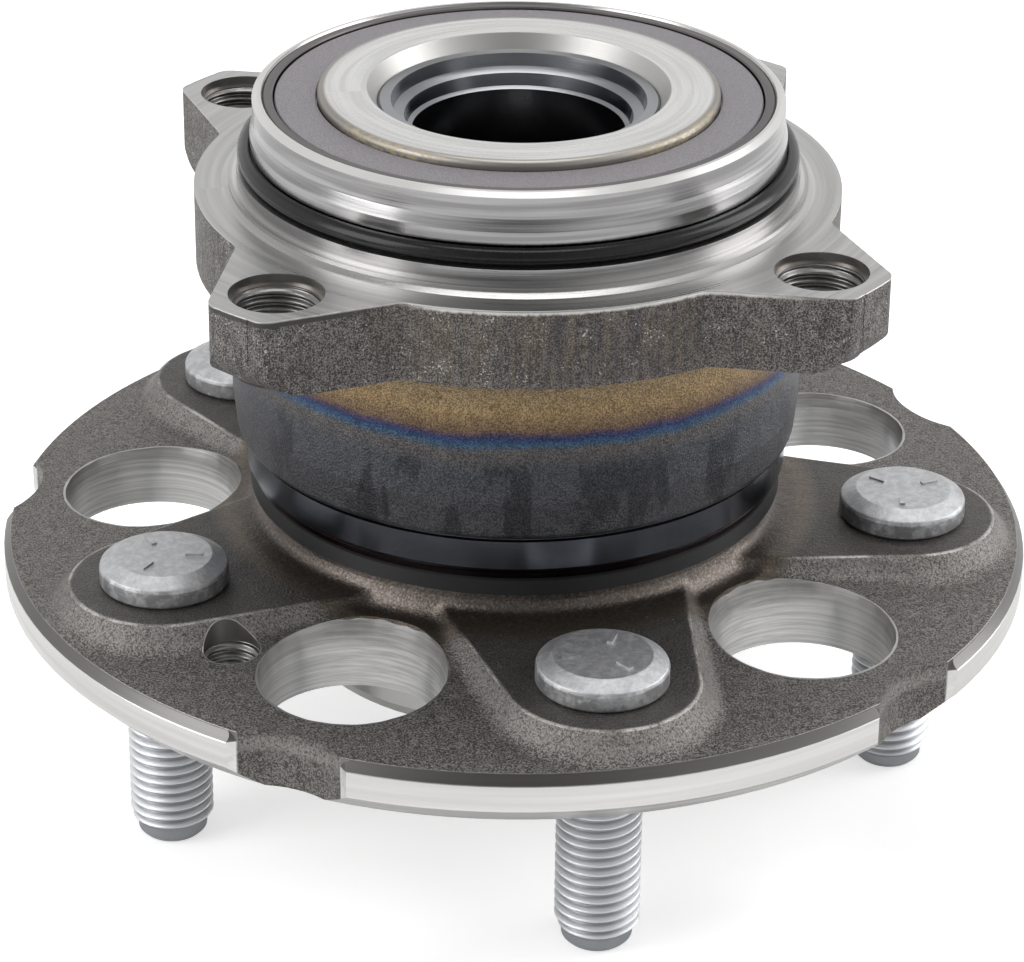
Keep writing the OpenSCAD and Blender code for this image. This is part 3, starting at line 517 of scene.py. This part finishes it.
def makeStudSteel():
    look = {"threadR": 6.0, "rootR": 5.15, "headR": 9.15}
    f = Finish("studSteel", (0.36, 0.36, 0.37), 0.46, 0.9)
    fromAxis = f.fromCentre(layout["studCircle"], layout["studAngle"], layout["studs"])
    cloud = f.noise(f.point, 0.8, 5.0, 0.7)
    f.now["colour"] = f.blend(f.step(cloud, 0.35, 0.68), rgb(0.41, 0.415, 0.425), rgb(0.55, 0.555, 0.565))
    # grey stains down the side of the head
    side = f.both(f.step(fromAxis, look["headR"] - 0.25, look["headR"] - 0.1), f.step(f.height, 11.0, 11.5))
    f.layer(f.both(side, f.step(f.noise(f.point, 0.45, 4.0, 0.65), 0.42, 0.56)), colour=(0.31, 0.31, 0.315))
    # thread crests painted bright and roots painted dark: painted highlight and painted shade
    shank = f.step(f.height, 0.3, -0.3)
    f.layer(
        shank,
        colour=f.blend(
            f.step(fromAxis, look["rootR"] + 0.05, look["threadR"] - 0.25), rgb(0.34, 0.35, 0.365),
            rgb(0.74, 0.75, 0.77)
        )
    )
    f.now["rough"] = f.fit(cloud, 0.38, 0.56)
    grit = f.noise(f.point, 3.4, 3.0, 0.7)
    f.layer(1.0, bump=f.times(grit, 0.06))
    return f.done()


def makeSheetSteel(name, colour, rough):
    f = Finish(name, colour, rough, 1.0)
    lines = f.turned(0.3)
    f.now["colour"] = f.blend(
        f.step(lines["Band"], 0.3, 0.7), rgb(*(0.8 * c for c in colour)), rgb(*(1.15 * c for c in colour))
    )
    f.now["rough"] = f.fit(lines["Band"], rough - 0.06, rough + 0.08)
    f.layer(1.0, bump=f.times(lines["Groove"], 0.01))
    return f.done()


def makeRubber(name, rough):
    f = Finish(name, (0.008, 0.008, 0.009), rough, 0.0)
    cloud = f.noise(f.point, 1.2, 3.0, 0.6)
    f.now["colour"] = f.blend(cloud, rgb(0.004, 0.004, 0.005), rgb(0.011, 0.011, 0.012))
    f.now["rough"] = f.fit(cloud, rough - 0.05, rough + 0.07)
    f.layer(1.0, bump=f.times(f.noise(f.point, 4.0, 2.0, 0.5), 0.01))
    return f.done(Specular_IOR_Level=0.28)


def makeEncoder():
    f = Finish("encoderRubber", (0.10, 0.09, 0.098), 0.5, 0.1)
    grain = f.noise(f.point, 5.5, 3.0, 0.75)
    f.now["colour"] = f.blend(f.step(grain, 0.42, 0.7), rgb(0.14, 0.128, 0.142), rgb(0.33, 0.32, 0.335))
    f.now["rough"] = f.fit(grain, 0.38, 0.6)
    f.layer(1.0, bump=f.times(grain, 0.03))
    return f.done()


def makeCagePlastic():
    f = Finish("cagePlastic", (0.62, 0.52, 0.30), 0.45, 0.0)
    cloud = f.noise(f.point, 0.7, 3.0, 0.6)
    f.now["colour"] = f.blend(cloud, rgb(0.55, 0.45, 0.25), rgb(0.68, 0.58, 0.36))
    f.layer(1.0, bump=f.times(f.noise(f.point, 3.0, 2.0, 0.6), 0.02))
    return f.done()


def makeBallSteel():
    f = Finish("ballSteel", (0.75, 0.75, 0.76), 0.06, 1.0)
    f.now["rough"] = f.fit(f.noise(f.point, 0.6, 2.0, 0.5), 0.04, 0.09)
    return f.done()


ringSteel, hubSteel, groundSteel = makeRingSteel(), makeHubSteel(), makeGroundSteel()
threadSteel, studSteel = makeThreadSteel(), makeStudSteel()
caseSteel = makeSheetSteel("caseSteel", (0.13, 0.12, 0.12), 0.3)
outboardCaseSteel = makeSheetSteel("tintedCaseSteel", (0.018, 0.012, 0.013), 0.24)
slingerSteel = makeSheetSteel("slingerSteel", (0.45, 0.44, 0.43), 0.25)
glossRubber, lipRubber = makeRubber("glossRubber", 0.2), makeRubber("lipRubber", 0.42)
encoderRubber, cagePlastic, ballSteel = makeEncoder(), makeCagePlastic(), makeBallSteel()

finishes = {
    "outer_ring": ringSteel, "knuckle_o_ring": glossRubber, "inboard_seal_case": caseSteel,
    "inboard_seal_lips": lipRubber, "outboard_seal_case": outboardCaseSteel, "outboard_seal_lips": lipRubber,
    "hub": hubSteel, "inner_ring": groundSteel, "inboard_slinger": slingerSteel, "encoder_ring": encoderRubber,
    "inboard_cage": cagePlastic, "outboard_cage": cagePlastic,
}
for name, piece in nodes.items():
    finish = finishes.get(name) or (studSteel if name.startswith("wheel_stud") else ballSteel)
    piece.data.materials.clear()
    piece.data.materials.append(finish)
print("finishes laid on", len(nodes), "nodes")


# Surface of revolution about Z, closed where its outline ends on the axis.
def turnProfile(mesh, outline, around):
    rings = []
    for r, z in outline:
        if r < 1e-9:
            rings.append([mesh.verts.new((0, 0, z))])
        else:
            angles = [math.tau * i / around for i in range(around)]
            rings.append([mesh.verts.new((r * math.cos(a), r * math.sin(a), z)) for a in angles])
    for low, high in zip(rings, rings[1:]):
        for i in range(around):
            j = (i + 1) % around
            corners = [low[i % len(low)], low[j % len(low)], high[j % len(high)], high[i % len(high)]]
            corners = [v for k, v in enumerate(corners) if v not in corners[:k]]
            if len(corners) > 2:
                mesh.faces.new(corners)


# Outline points round a corner of the given radius, between the two straight parts that meet there.
def roundCorner(before, corner, after, radius, count=4):
    p, a, b = Vector(corner), Vector(before), Vector(after)
    u, v = (a - p).normalized(), (b - p).normalized()
    reach = min(radius, 0.45 * (a - p).length, 0.45 * (b - p).length)
    start, end = p + u * reach, p + v * reach
    points = []
    for i in range(count + 1):
        t = i / count
        points.append(tuple((1 - t) ** 2 * start + 2 * t * (1 - t) * p + t * t * end))
    return points


def softOutline(points, radii):
    result = [points[0]]
    for i in range(1, len(points) - 1):
        if radii[i] > 0:
            result += roundCorner(points[i - 1], points[i], points[i + 1], radii[i])
        else:
            result.append(points[i])
    return result + [points[-1]]


# One tree makes every thread here: a helical sleeve, joined to a body and set round a circle.
def makeThreadTree():
    tree = bpy.data.node_groups.new("threadsOnCircle", "GeometryNodeTree")
    fields = [
        ("Body", "NodeSocketObject", None), ("Root Radius", "NodeSocketFloat", 0.005),
        ("Depth", "NodeSocketFloat", 0.0009), ("Pitch", "NodeSocketFloat", 0.0015), ("Length", "NodeSocketFloat", 0.02),
        ("Fade", "NodeSocketFloat", 0.001), ("Cap Radius", "NodeSocketFloat", 0.0),
        ("Base Height", "NodeSocketFloat", 0.0), ("Around", "NodeSocketInt", 48), ("Rows", "NodeSocketInt", 100),
        ("Inside", "NodeSocketBool", False), ("Circle Radius", "NodeSocketFloat", 0.05), ("Count", "NodeSocketInt", 5),
        ("Start Angle", "NodeSocketFloat", 0.0), ("Turn Each", "NodeSocketFloat", 0.0),
        ("Finish", "NodeSocketMaterial", None),
    ]
    for label, kind, value in fields:
        socket = tree.interface.new_socket(name=label, in_out="INPUT", socket_type=kind)
        if value is not None:
            socket.default_value = value
    tree.interface.new_socket(name="Geometry", in_out="OUTPUT", socket_type="NodeSocketGeometry")
    g = Graph(tree)
    given, out = g.add("NodeGroupInput").outputs, g.add("NodeGroupOutput")
    rows, inside = given["Rows"], given["Inside"]
    lines = g.calc("ADD", rows, g.calc("ADD", inside, 2.0))
    grid = g.add(
        "GeometryNodeMeshGrid",
        {"Size X": 1.0, "Size Y": 1.0, "Vertices X": g.calc("ADD", given["Around"], 1.0), "Vertices Y": lines}
    )
    spot = g.add("ShaderNodeSeparateXYZ", {0: g.add("GeometryNodeInputPosition").outputs[0]}).outputs
    turn = g.calc("ADD", spot[0], 0.5)
    row = g.calc("ROUND", g.times(g.calc("ADD", spot[1], 0.5), g.calc("SUBTRACT", lines, 1.0)))
    share = g.calc("DIVIDE", g.calc("SUBTRACT", row, 1.0), g.calc("SUBTRACT", rows, 1.0), clamp=True)
    back = g.calc("GREATER_THAN", row, g.calc("ADD", rows, 1.5))
    height = g.times(g.times(share, given["Length"]), g.calc("SUBTRACT", 1.0, back))
    phase = g.calc("FRACT", g.calc("SUBTRACT", g.calc("DIVIDE", height, given["Pitch"]), turn))
    wave = g.calc("SUBTRACT", 1.0, g.calc("ABSOLUTE", g.calc("SUBTRACT", g.times(phase, 2.0), 1.0)))
    wave = g.times(g.calc("SUBTRACT", wave, 0.14), 1.4, clamp=True)
    rise = g.calc("DIVIDE", height, given["Fade"], clamp=True)
    fall = g.calc("DIVIDE", g.calc("SUBTRACT", given["Length"], height), given["Fade"], clamp=True)
    wave = g.times(wave, g.times(rise, fall))
    radius = g.calc("MULTIPLY_ADD", wave, given["Depth"], given["Root Radius"])
    cap = g.calc("ADD", g.calc("LESS_THAN", row, 0.5), g.calc("GREATER_THAN", row, g.calc("ADD", rows, 0.5)))
    radius = g.calc("ADD", g.times(radius, g.calc("SUBTRACT", 1.0, cap)), g.times(cap, given["Cap Radius"]))
    angle = g.times(turn, math.tau)
    place = g.vector(
        g.times(radius, g.calc("COSINE", angle)), g.times(radius, g.calc("SINE", angle)),
        g.calc("ADD", height, given["Base Height"])
    )
    sleeve = g.add("GeometryNodeSetPosition", {"Geometry": grid.outputs[0], "Position": place}).outputs[0]
    sleeve = g.add("GeometryNodeMergeByDistance", {"Geometry": sleeve, "Distance": 1e-6}).outputs[0]
    sleeve = g.add("GeometryNodeFlipFaces", {"Mesh": sleeve, "Selection": inside}).outputs[0]
    sleeve = g.add("GeometryNodeSetShadeSmooth", {"Geometry": sleeve, "Shade Smooth": True}).outputs[0]
    body = g.add("GeometryNodeObjectInfo", {"Object": given["Body"]}).outputs["Geometry"]
    joined = g.add("GeometryNodeJoinGeometry")
    g.put(joined.inputs[0], sleeve)
    g.put(joined.inputs[0], body)
    around = g.calc(
        "MULTIPLY_ADD", g.add("GeometryNodeInputIndex").outputs[0], given["Turn Each"], given["Start Angle"]
    )
    spots = g.vector(
        g.times(given["Circle Radius"], g.calc("COSINE", around)),
        g.times(given["Circle Radius"], g.calc("SINE", around)), 0.0
    )
    circle = g.add("GeometryNodePoints", {"Count": given["Count"], "Position": spots}).outputs[0]
    copies = g.add(
        "GeometryNodeInstanceOnPoints",
        {"Points": circle, "Instance": joined.outputs[0], "Rotation": g.vector(0.0, 0.0, around)}
    ).outputs[0]
    solid = g.add("GeometryNodeRealizeInstances", {0: copies}).outputs[0]
    g.put(out.inputs[0], g.add("GeometryNodeSetMaterial", {"Geometry": solid, "Material": given["Finish"]}).outputs[0])
    return tree


# Runs a tree on an empty carrier and keeps the result as a plain mesh.
def bake(name, tree, values, body):
    carrier = bpy.data.objects.new(name, bpy.data.meshes.new(name))
    scene.collection.objects.link(carrier)
    modifier = carrier.modifiers.new("maker", "NODES")
    modifier.node_group = tree
    labels = {item.name: item.identifier for item in tree.interface.items_tree if item.in_out == "INPUT"}
    for label, value in values.items():
        modifier[labels[label]] = value
    bpy.context.view_layer.update()
    made = bpy.data.meshes.new_from_object(carrier.evaluated_get(bpy.context.evaluated_depsgraph_get()))
    made.name = name
    carrier.modifiers.remove(modifier)
    carrier.data = made
    tidy = bmesh.new()
    tidy.from_mesh(made)
    bmesh.ops.recalc_face_normals(tidy, faces=tidy.faces)
    tidy.to_mesh(made)
    tidy.free()
    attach(carrier, body)
    print(name, len(made.polygons), "faces")
    return carrier


threadTree = makeThreadTree()
stud = {
    "headR": 9.15, "headTop": 16.13, "padZ": 12.0, "bevelR": 6.85, "bevelZ": 14.95, "out": 29.2, "threadR": 6.0,
    "depth": 0.86, "pitch": 1.5, "knurlR": 6.3, "tipR": 5.0, "around": 64, "sharpFrom": 38,
    "ticks": 3, "tickAt": 4.3, "tickLength": 2.5, "tickWidth": 0.8, "tickRise": 0.28,
}


# Plain parts of a stud, turned as one outline from its tip: core under the thread, neck and bevelled head.
def makeStudBody():
    mesh = bmesh.new()
    rootR, seat, top = stud["threadR"] - stud["depth"] - 0.06, stud["padZ"] + 0.02, stud["headTop"] - 0.03
    points = [
        (0, -stud["out"]), (stud["tipR"] - 0.9, -stud["out"]), (stud["tipR"], 0.9 - stud["out"]),
        (stud["tipR"], 2.6 - stud["out"]), (rootR, 3.2 - stud["out"]), (rootR, -1.0), (stud["threadR"] - 0.1, 0.4),
        (stud["threadR"] - 0.1, 1.4), (stud["knurlR"], 1.9), (stud["knurlR"], seat), (stud["headR"] - 0.3, seat),
        (stud["headR"], seat + 0.3), (stud["headR"], seat + 0.6), (stud["headR"], stud["bevelZ"] - 0.8),
        (stud["headR"], stud["bevelZ"] - 0.5), (stud["headR"] - 0.18, stud["bevelZ"] - 0.02),
        (stud["headR"] - 0.5, stud["bevelZ"] + 0.16), (stud["bevelR"] + 0.3, stud["headTop"] - 0.19),
        (stud["bevelR"], top), (stud["bevelR"] - 0.25, top), (0, top),
    ]
    radii = [0, 0.3, 0.3, 0.2, 0.3, 0.3, 0.2, 0.2, 0.2, 0, 0.2, 0.2, 0, 0, 0.3, 0.3, 0, 0, 0.14, 0, 0]
    turnProfile(mesh, softOutline([(r * mm, z * mm) for r, z in points], [r * mm for r in radii]), stud["around"])
    # short raised ticks on the head
    for i in range(stud["ticks"]):
        turn = Matrix.Rotation(math.radians(360 / stud["ticks"] * i + 30), 4, "Z")
        size = Matrix.Diagonal((stud["tickLength"] * mm, stud["tickWidth"] * mm, 2 * stud["tickRise"] * mm, 1))
        bmesh.ops.create_cube(
            mesh, size=1.0, matrix=turn @ Matrix.Translation((stud["tickAt"] * mm, 0, top * mm)) @ size
        )
    made = bpy.data.meshes.new("studBody")
    mesh.to_mesh(made)
    mesh.free()
    made.polygons.foreach_set("use_smooth", [True] * len(made.polygons))
    made.set_sharp_from_angle(angle=math.radians(stud["sharpFrom"]))
    body = bpy.data.objects.new("studBody", made)
    scene.collection.objects.link(body)
    return body


studBody = makeStudBody()
studThread = {
    "Body": studBody, "Root Radius": (stud["threadR"] - stud["depth"]) * mm, "Depth": stud["depth"] * mm,
    "Pitch": stud["pitch"] * mm, "Length": (stud["out"] - 2.7) * mm, "Fade": 1.1 * mm,
    "Base Height": (2.4 - stud["out"]) * mm, "Around": 48, "Rows": 190, "Circle Radius": layout["studCircle"] * mm,
    "Count": layout["studs"], "Start Angle": math.radians(layout["studAngle"]),
    "Turn Each": math.radians(360 / layout["studs"]), "Finish": studSteel,
}
wheelStuds = bake("wheelStuds", threadTree, studThread, "hub")
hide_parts(*["wheel_stud_%d" % i for i in range(1, 6)])
bpy.data.objects.remove(studBody)

lugThread = {
    "Root Radius": 5.97 * mm, "Depth": -0.62 * mm, "Pitch": 1.25 * mm, "Length": 9.6 * mm, "Fade": 0.5 * mm,
    "Cap Radius": 5.99 * mm, "Base Height": 50.85 * mm, "Around": 56, "Rows": 84, "Inside": True,
    "Circle Radius": layout["boltCircle"] * mm, "Count": layout["bolts"],
    "Start Angle": math.radians(layout["boltAngle"]), "Turn Each": math.radians(360 / layout["bolts"]),
    "Finish": threadSteel,
}
lugThreads = bake("lugThreads", threadTree, lugThread, "outer")
screwThread = {
    "Root Radius": 3.97 * mm, "Depth": -0.6 * mm, "Pitch": 1.25 * mm, "Length": 7.4 * mm, "Fade": 0.5 * mm,
    "Cap Radius": 3.99 * mm, "Base Height": 0.9 * mm, "Around": 40, "Rows": 64, "Inside": True,
    "Circle Radius": layout["screwCircle"] * mm, "Count": layout["screws"],
    "Start Angle": math.radians(layout["screwAngle"]), "Turn Each": math.radians(360 / layout["screws"]),
    "Finish": threadSteel,
}
screwThreads = bake("screwThreads", threadTree, screwThread, "hub")
print("studs and threads made")


# Forged upper skin of the flange: one field of heights over the plate, its five arms and the root of the boss.
skin = {
    "innerR": 37.35, "outerR": 74.32, "fineTo": 40.0, "rings": (12, 80), "around": 980, "riseFrom": 38.3, "bottom": 5.0,
    "lift": 0.03, "swell": 0.09, "plateZ": 8.3, "plateSlope": 0.04695, "plateR": 74.35, "filletR": 5.2,
    "filletAt": (42.4, 15.006), "rootRise": 0.9, "seatR": 13.2, "seatZ": 12.0, "armSlope": 1.425,
    "armSide": (31.0, 17.5), "windowR": 12.62, "windowLead": 7.03, "windowLean": 0.5 / 2.2, "ragged": 0.1,
    "scallopR": 13.86, "screwR": 3.95, "cutLow": 4, "cutHigh": 15, "sharpFrom": 40,
}


def smoothLess(a, b, soft):
    share = np.clip(0.5 + 0.5 * (b - a) / soft, 0, 1)
    return b * (1 - share) + a * share - soft * share * (1 - share)


def waves(x, y, size, seed):
    rng = np.random.default_rng(seed)
    total = np.zeros_like(x)
    for turn, shift, stretch in zip(rng.uniform(0, math.tau, 9), rng.uniform(0, math.tau, 9), rng.uniform(0.7, 1.6, 9)):
        total += np.sin((x * math.cos(turn) + y * math.sin(turn)) * math.tau / (size * stretch) + shift)
    return 0.5 + total / 9


def skinHeight(r, angle):
    plate = skin["plateZ"] + skin["plateSlope"] * (skin["plateR"] - r)
    middle, level = skin["filletAt"]
    inside = np.clip(middle - r, 0, skin["filletR"] - 1e-6)
    plate = np.where(r < middle, level - np.sqrt(skin["filletR"] ** 2 - inside ** 2), plate)
    fade = np.clip((r - skin["riseFrom"]) / 3.8, 0, 1)
    plate += skin["rootRise"] * np.where(r > 42.1, np.exp((42.1 - r) / 4.2), fade * fade * (3 - 2 * fade))
    step = math.tau / layout["studs"]
    local = (angle - math.radians(layout["studAngle"]) + step / 2) % step - step / 2
    x, y = r * np.cos(local), np.abs(r * np.sin(local))
    # outline of an arm: a circle round the stud, and a straight flank from it to the boss
    px, py = skin["armSide"][0] - layout["studCircle"], skin["armSide"][1]
    lean = math.atan2(py, px) - math.acos(skin["seatR"] / math.hypot(px, py))
    nx, ny = math.cos(lean), math.sin(lean)
    fromX = x - layout["studCircle"]
    flank = fromX * nx + y * ny - skin["seatR"]
    seatEdge = np.hypot(fromX, y) - skin["seatR"]
    away = np.where(fromX * ny - y * nx > 0, seatEdge, flank)
    top = skin["seatZ"] + 0 * r
    arm = smoothLess(top, skin["seatZ"] - skin["armSlope"] * (away - 0.35), 0.6)
    height = -smoothLess(-plate, -arm, 2.0)
    rough = waves(r * np.cos(angle), r * np.sin(angle), 9.0, 4)
    rough = rough * np.clip(away / 2, 0, 1) * np.clip((73.5 - r) / 1.5, 0, 1)
    return height + skin["lift"] + skin["swell"] * np.clip(rough, 0, 1) * np.clip((r - 41) / 2, 0, 1)


def makeShell(name, vertices, faces):
    made = bpy.data.meshes.new(name)
    made.from_pydata(vertices, [], faces)
    piece = bpy.data.objects.new(name, made)
    scene.collection.objects.link(piece)
    return piece


# Stack of rings as one closed solid, used to cut openings; the mouth of a window is a little ragged.
def makeCutter(name, centre, rings, around, ragged=0.0):
    turn = np.linspace(0, math.tau, around, endpoint=False)
    uneven = ragged * np.clip(0.5 + 0.5 * np.sin(turn * 7 + centre[0]) * np.sin(turn * 17 + centre[1]), 0, 1)
    vertices = []
    for r, z in rings:
        shrink = uneven if z > 7 else 0 * uneven
        vertices += [
            (centre[0] + (r - d) * math.cos(a), centre[1] + (r - d) * math.sin(a), z) for a, d in zip(turn, shrink)
        ]
    faces = [list(range(around))[::-1], [len(vertices) - around + i for i in range(around)]]
    for k in range(len(rings) - 1):
        low, high = k * around, (k + 1) * around
        for i in range(around):
            j = (i + 1) % around
            faces.append((low + i, low + j, high + j, high + i))
    return makeShell(name, [tuple(c * mm for c in v) for v in vertices], faces)


def makeHubSkin():
    around, (fine, coarse) = skin["around"], skin["rings"]
    r = np.append(
        np.linspace(skin["innerR"], skin["fineTo"], fine, endpoint=False),
        np.linspace(skin["fineTo"], skin["outerR"], coarse)
    )
    rings = len(r)
    turn = np.linspace(0, math.tau, around, endpoint=False)
    radius, angle = np.meshgrid(r, turn, indexing="ij")
    top = np.stack([radius * np.cos(angle), radius * np.sin(angle), skinHeight(radius, angle)], axis=2).reshape(-1, 3)
    under = [[e * math.cos(a), e * math.sin(a), skin["bottom"]] for e in (skin["innerR"], skin["outerR"]) for a in turn]
    vertices = (np.vstack([top, under]) * mm).tolist()
    faces, floorRow = [], rings * around
    for i in range(around):
        j = (i + 1) % around
        faces += [
            (k * around + i, (k + 1) * around + i, (k + 1) * around + j, k * around + j) for k in range(rings - 1)
        ]
        last = (rings - 1) * around
        inner, outer = floorRow, floorRow + around
        faces += [
            (i, j, inner + j, inner + i), (last + j, last + i, outer + i, outer + j),
            (inner + i, inner + j, outer + j, outer + i)
        ]
    piece = makeShell("hubSkin", vertices, faces)
    cutters = []
    low, high = skin["cutLow"], skin["cutHigh"]
    for i in range(layout["studs"]):
        a = math.radians(layout["windowAngle"] + 360 / layout["studs"] * i)
        place = (layout["windowCircle"] * math.cos(a), layout["windowCircle"] * math.sin(a))
        wide = skin["windowR"] + skin["windowLean"] * (high - skin["windowLead"])
        wall = [(skin["windowR"], low), (skin["windowR"], skin["windowLead"]), (wide, high)]
        cutters.append(makeCutter("windowCut", place, wall, 144, skin["ragged"]))
        place = (layout["scallopCircle"] * math.cos(a), layout["scallopCircle"] * math.sin(a))
        cutters.append(makeCutter("scallopCut", place, [(skin["scallopR"], low), (skin["scallopR"], high)], 180))
    for a in (layout["screwAngle"], layout["screwAngle"] + 180):
        place = (layout["screwCircle"] * math.cos(math.radians(a)), layout["screwCircle"] * math.sin(math.radians(a)))
        cutters.append(makeCutter("screwCut", place, [(skin["screwR"], low), (skin["screwR"], high)], 48))
    for cutter in cutters:
        cut = piece.modifiers.new("cut", "BOOLEAN")
        cut.operation, cut.solver, cut.object = "DIFFERENCE", "MANIFOLD", cutter
    bpy.context.view_layer.update()
    made = bpy.data.meshes.new_from_object(piece.evaluated_get(bpy.context.evaluated_depsgraph_get()))
    piece.modifiers.clear()
    piece.data = made
    for cutter in cutters:
        bpy.data.objects.remove(cutter)
    made.name = "hubSkin"
    made.materials.clear()
    made.materials.append(hubSteel)
    made.polygons.foreach_set("use_smooth", [True] * len(made.polygons))
    made.set_sharp_from_angle(angle=math.radians(skin["sharpFrom"]))
    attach(piece, "hub")
    print("hub skin", len(made.polygons), "faces")
    return piece


hubSkin = makeHubSkin()


# Camera fitted to the photograph: place in millimetres, yaw, pitch and roll in degrees.
view = {
    "place": (-63.19, -500.21, 271.18), "yaw": 7.1835, "pitch": 27.069, "roll": 0.6588, "lens": 134.5,
    "shiftX": -0.00156
}


def makeCamera():
    data = bpy.data.cameras.new("camera")
    data.sensor_fit, data.sensor_width = "HORIZONTAL", 36.0
    data.lens, data.shift_x = view["lens"], view["shiftX"]
    data.clip_start, data.clip_end = 0.01, 50.0
    yaw, pitch, roll = (math.radians(view[k]) for k in ("yaw", "pitch", "roll"))
    forward = Vector((math.sin(yaw) * math.cos(pitch), math.cos(yaw) * math.cos(pitch), -math.sin(pitch)))
    right = Vector((math.cos(yaw), -math.sin(yaw), 0))
    up = right.cross(forward)
    sideways = right * math.cos(roll) + up * math.sin(roll)
    upright = up * math.cos(roll) - right * math.sin(roll)
    matrix = Matrix((sideways, upright, -forward)).transposed().to_4x4()
    matrix.translation = Vector(view["place"]) * mm
    camera = bpy.data.objects.new("camera", data)
    camera.matrix_world = matrix
    scene.collection.objects.link(camera)
    scene.camera = camera


# What gloss reflects: white at the sides and low behind, darker overhead and in front, as between two soft boxes.
studio = {"diffuse": 0.5, "darkStrip": 0.28, "boxPower": 4.2, "floorGlow": 0.56, "floorGloss": 0.2, "floorShade": 0.72}


def backgroundRay(g):
    path = g.add("ShaderNodeLightPath").outputs
    return path["Is Camera Ray"], g.calc("MAXIMUM", path["Is Glossy Ray"], path["Is Transmission Ray"])


def makeStudio():
    world = bpy.data.worlds.new("studio")
    scene.world = world
    world.use_nodes = True
    g = Graph(world.node_tree)
    sky = world.node_tree.nodes["Background"]
    g.put(sky.inputs["Color"], rgb(1, 1, 1))
    seen, glossy = backgroundRay(g)
    toward = g.add("ShaderNodeSeparateXYZ", {0: g.add("ShaderNodeTexCoord").outputs["Generated"]}).outputs
    yaw = math.radians(view["yaw"])
    sideways = g.calc("ABSOLUTE", g.calc("ADD", g.times(toward[0], math.cos(yaw)), g.times(toward[1], -math.sin(yaw))))
    lowBehind = g.times(g.step(toward[1], -0.1, 0.6), g.step(toward[2], 0.75, 0.3))
    bright = g.calc("MAXIMUM", g.step(sideways, 0.05, 0.8), lowBehind)
    gloss = g.between(glossy, studio["diffuse"], g.between(bright, studio["darkStrip"], 1.0))
    g.put(sky.inputs["Strength"], g.between(seen, gloss, 1.0))

    paper = bpy.data.materials.new("floorPaper")
    paper.use_nodes = True
    g = Graph(paper.node_tree)
    shader = paper.node_tree.nodes["Principled BSDF"]
    shade = studio["floorShade"]
    g.put(shader.inputs["Base Color"], rgb(shade, shade, shade))
    g.put(shader.inputs["Roughness"], 0.95)
    g.put(shader.inputs["Specular IOR Level"], 0.0)
    g.put(shader.inputs["Emission Color"], rgb(1, 1, 1))
    seen, glossy = backgroundRay(g)
    g.put(
        shader.inputs["Emission Strength"],
        g.calc("MULTIPLY_ADD", seen, studio["floorGlow"], g.times(glossy, studio["floorGloss"]))
    )
    mesh = bmesh.new()
    bmesh.ops.create_grid(mesh, x_segments=1, y_segments=1, size=4.0)
    made = bpy.data.meshes.new("floor")
    mesh.to_mesh(made)
    mesh.free()
    made.transform(Matrix.Translation((0, 0, cadBox[0].z)))
    made.materials.append(paper)
    floor = bpy.data.objects.new("floor", made)
    scene.collection.objects.link(floor)

    boxes = {"leftBox": (-0.75, -0.25, 0.40), "rightBox": (0.80, 0.05, 0.35), "topBox": (0.05, 0.25, 0.95)}
    for name, place in boxes.items():
        light = bpy.data.lights.new(name, "AREA")
        light.shape, light.size, light.size_y, light.energy = "RECTANGLE", 0.5, 0.8, studio["boxPower"]
        lamp = bpy.data.objects.new(name, light)
        lamp.location = place
        lamp.rotation_euler = (Vector(place) - Vector((0, 0, 0.03))).to_track_quat("Z", "Y").to_euler()
        scene.collection.objects.link(lamp)


makeCamera()
makeStudio()
scene.view_settings.view_transform = "Standard"
print("camera and studio made")
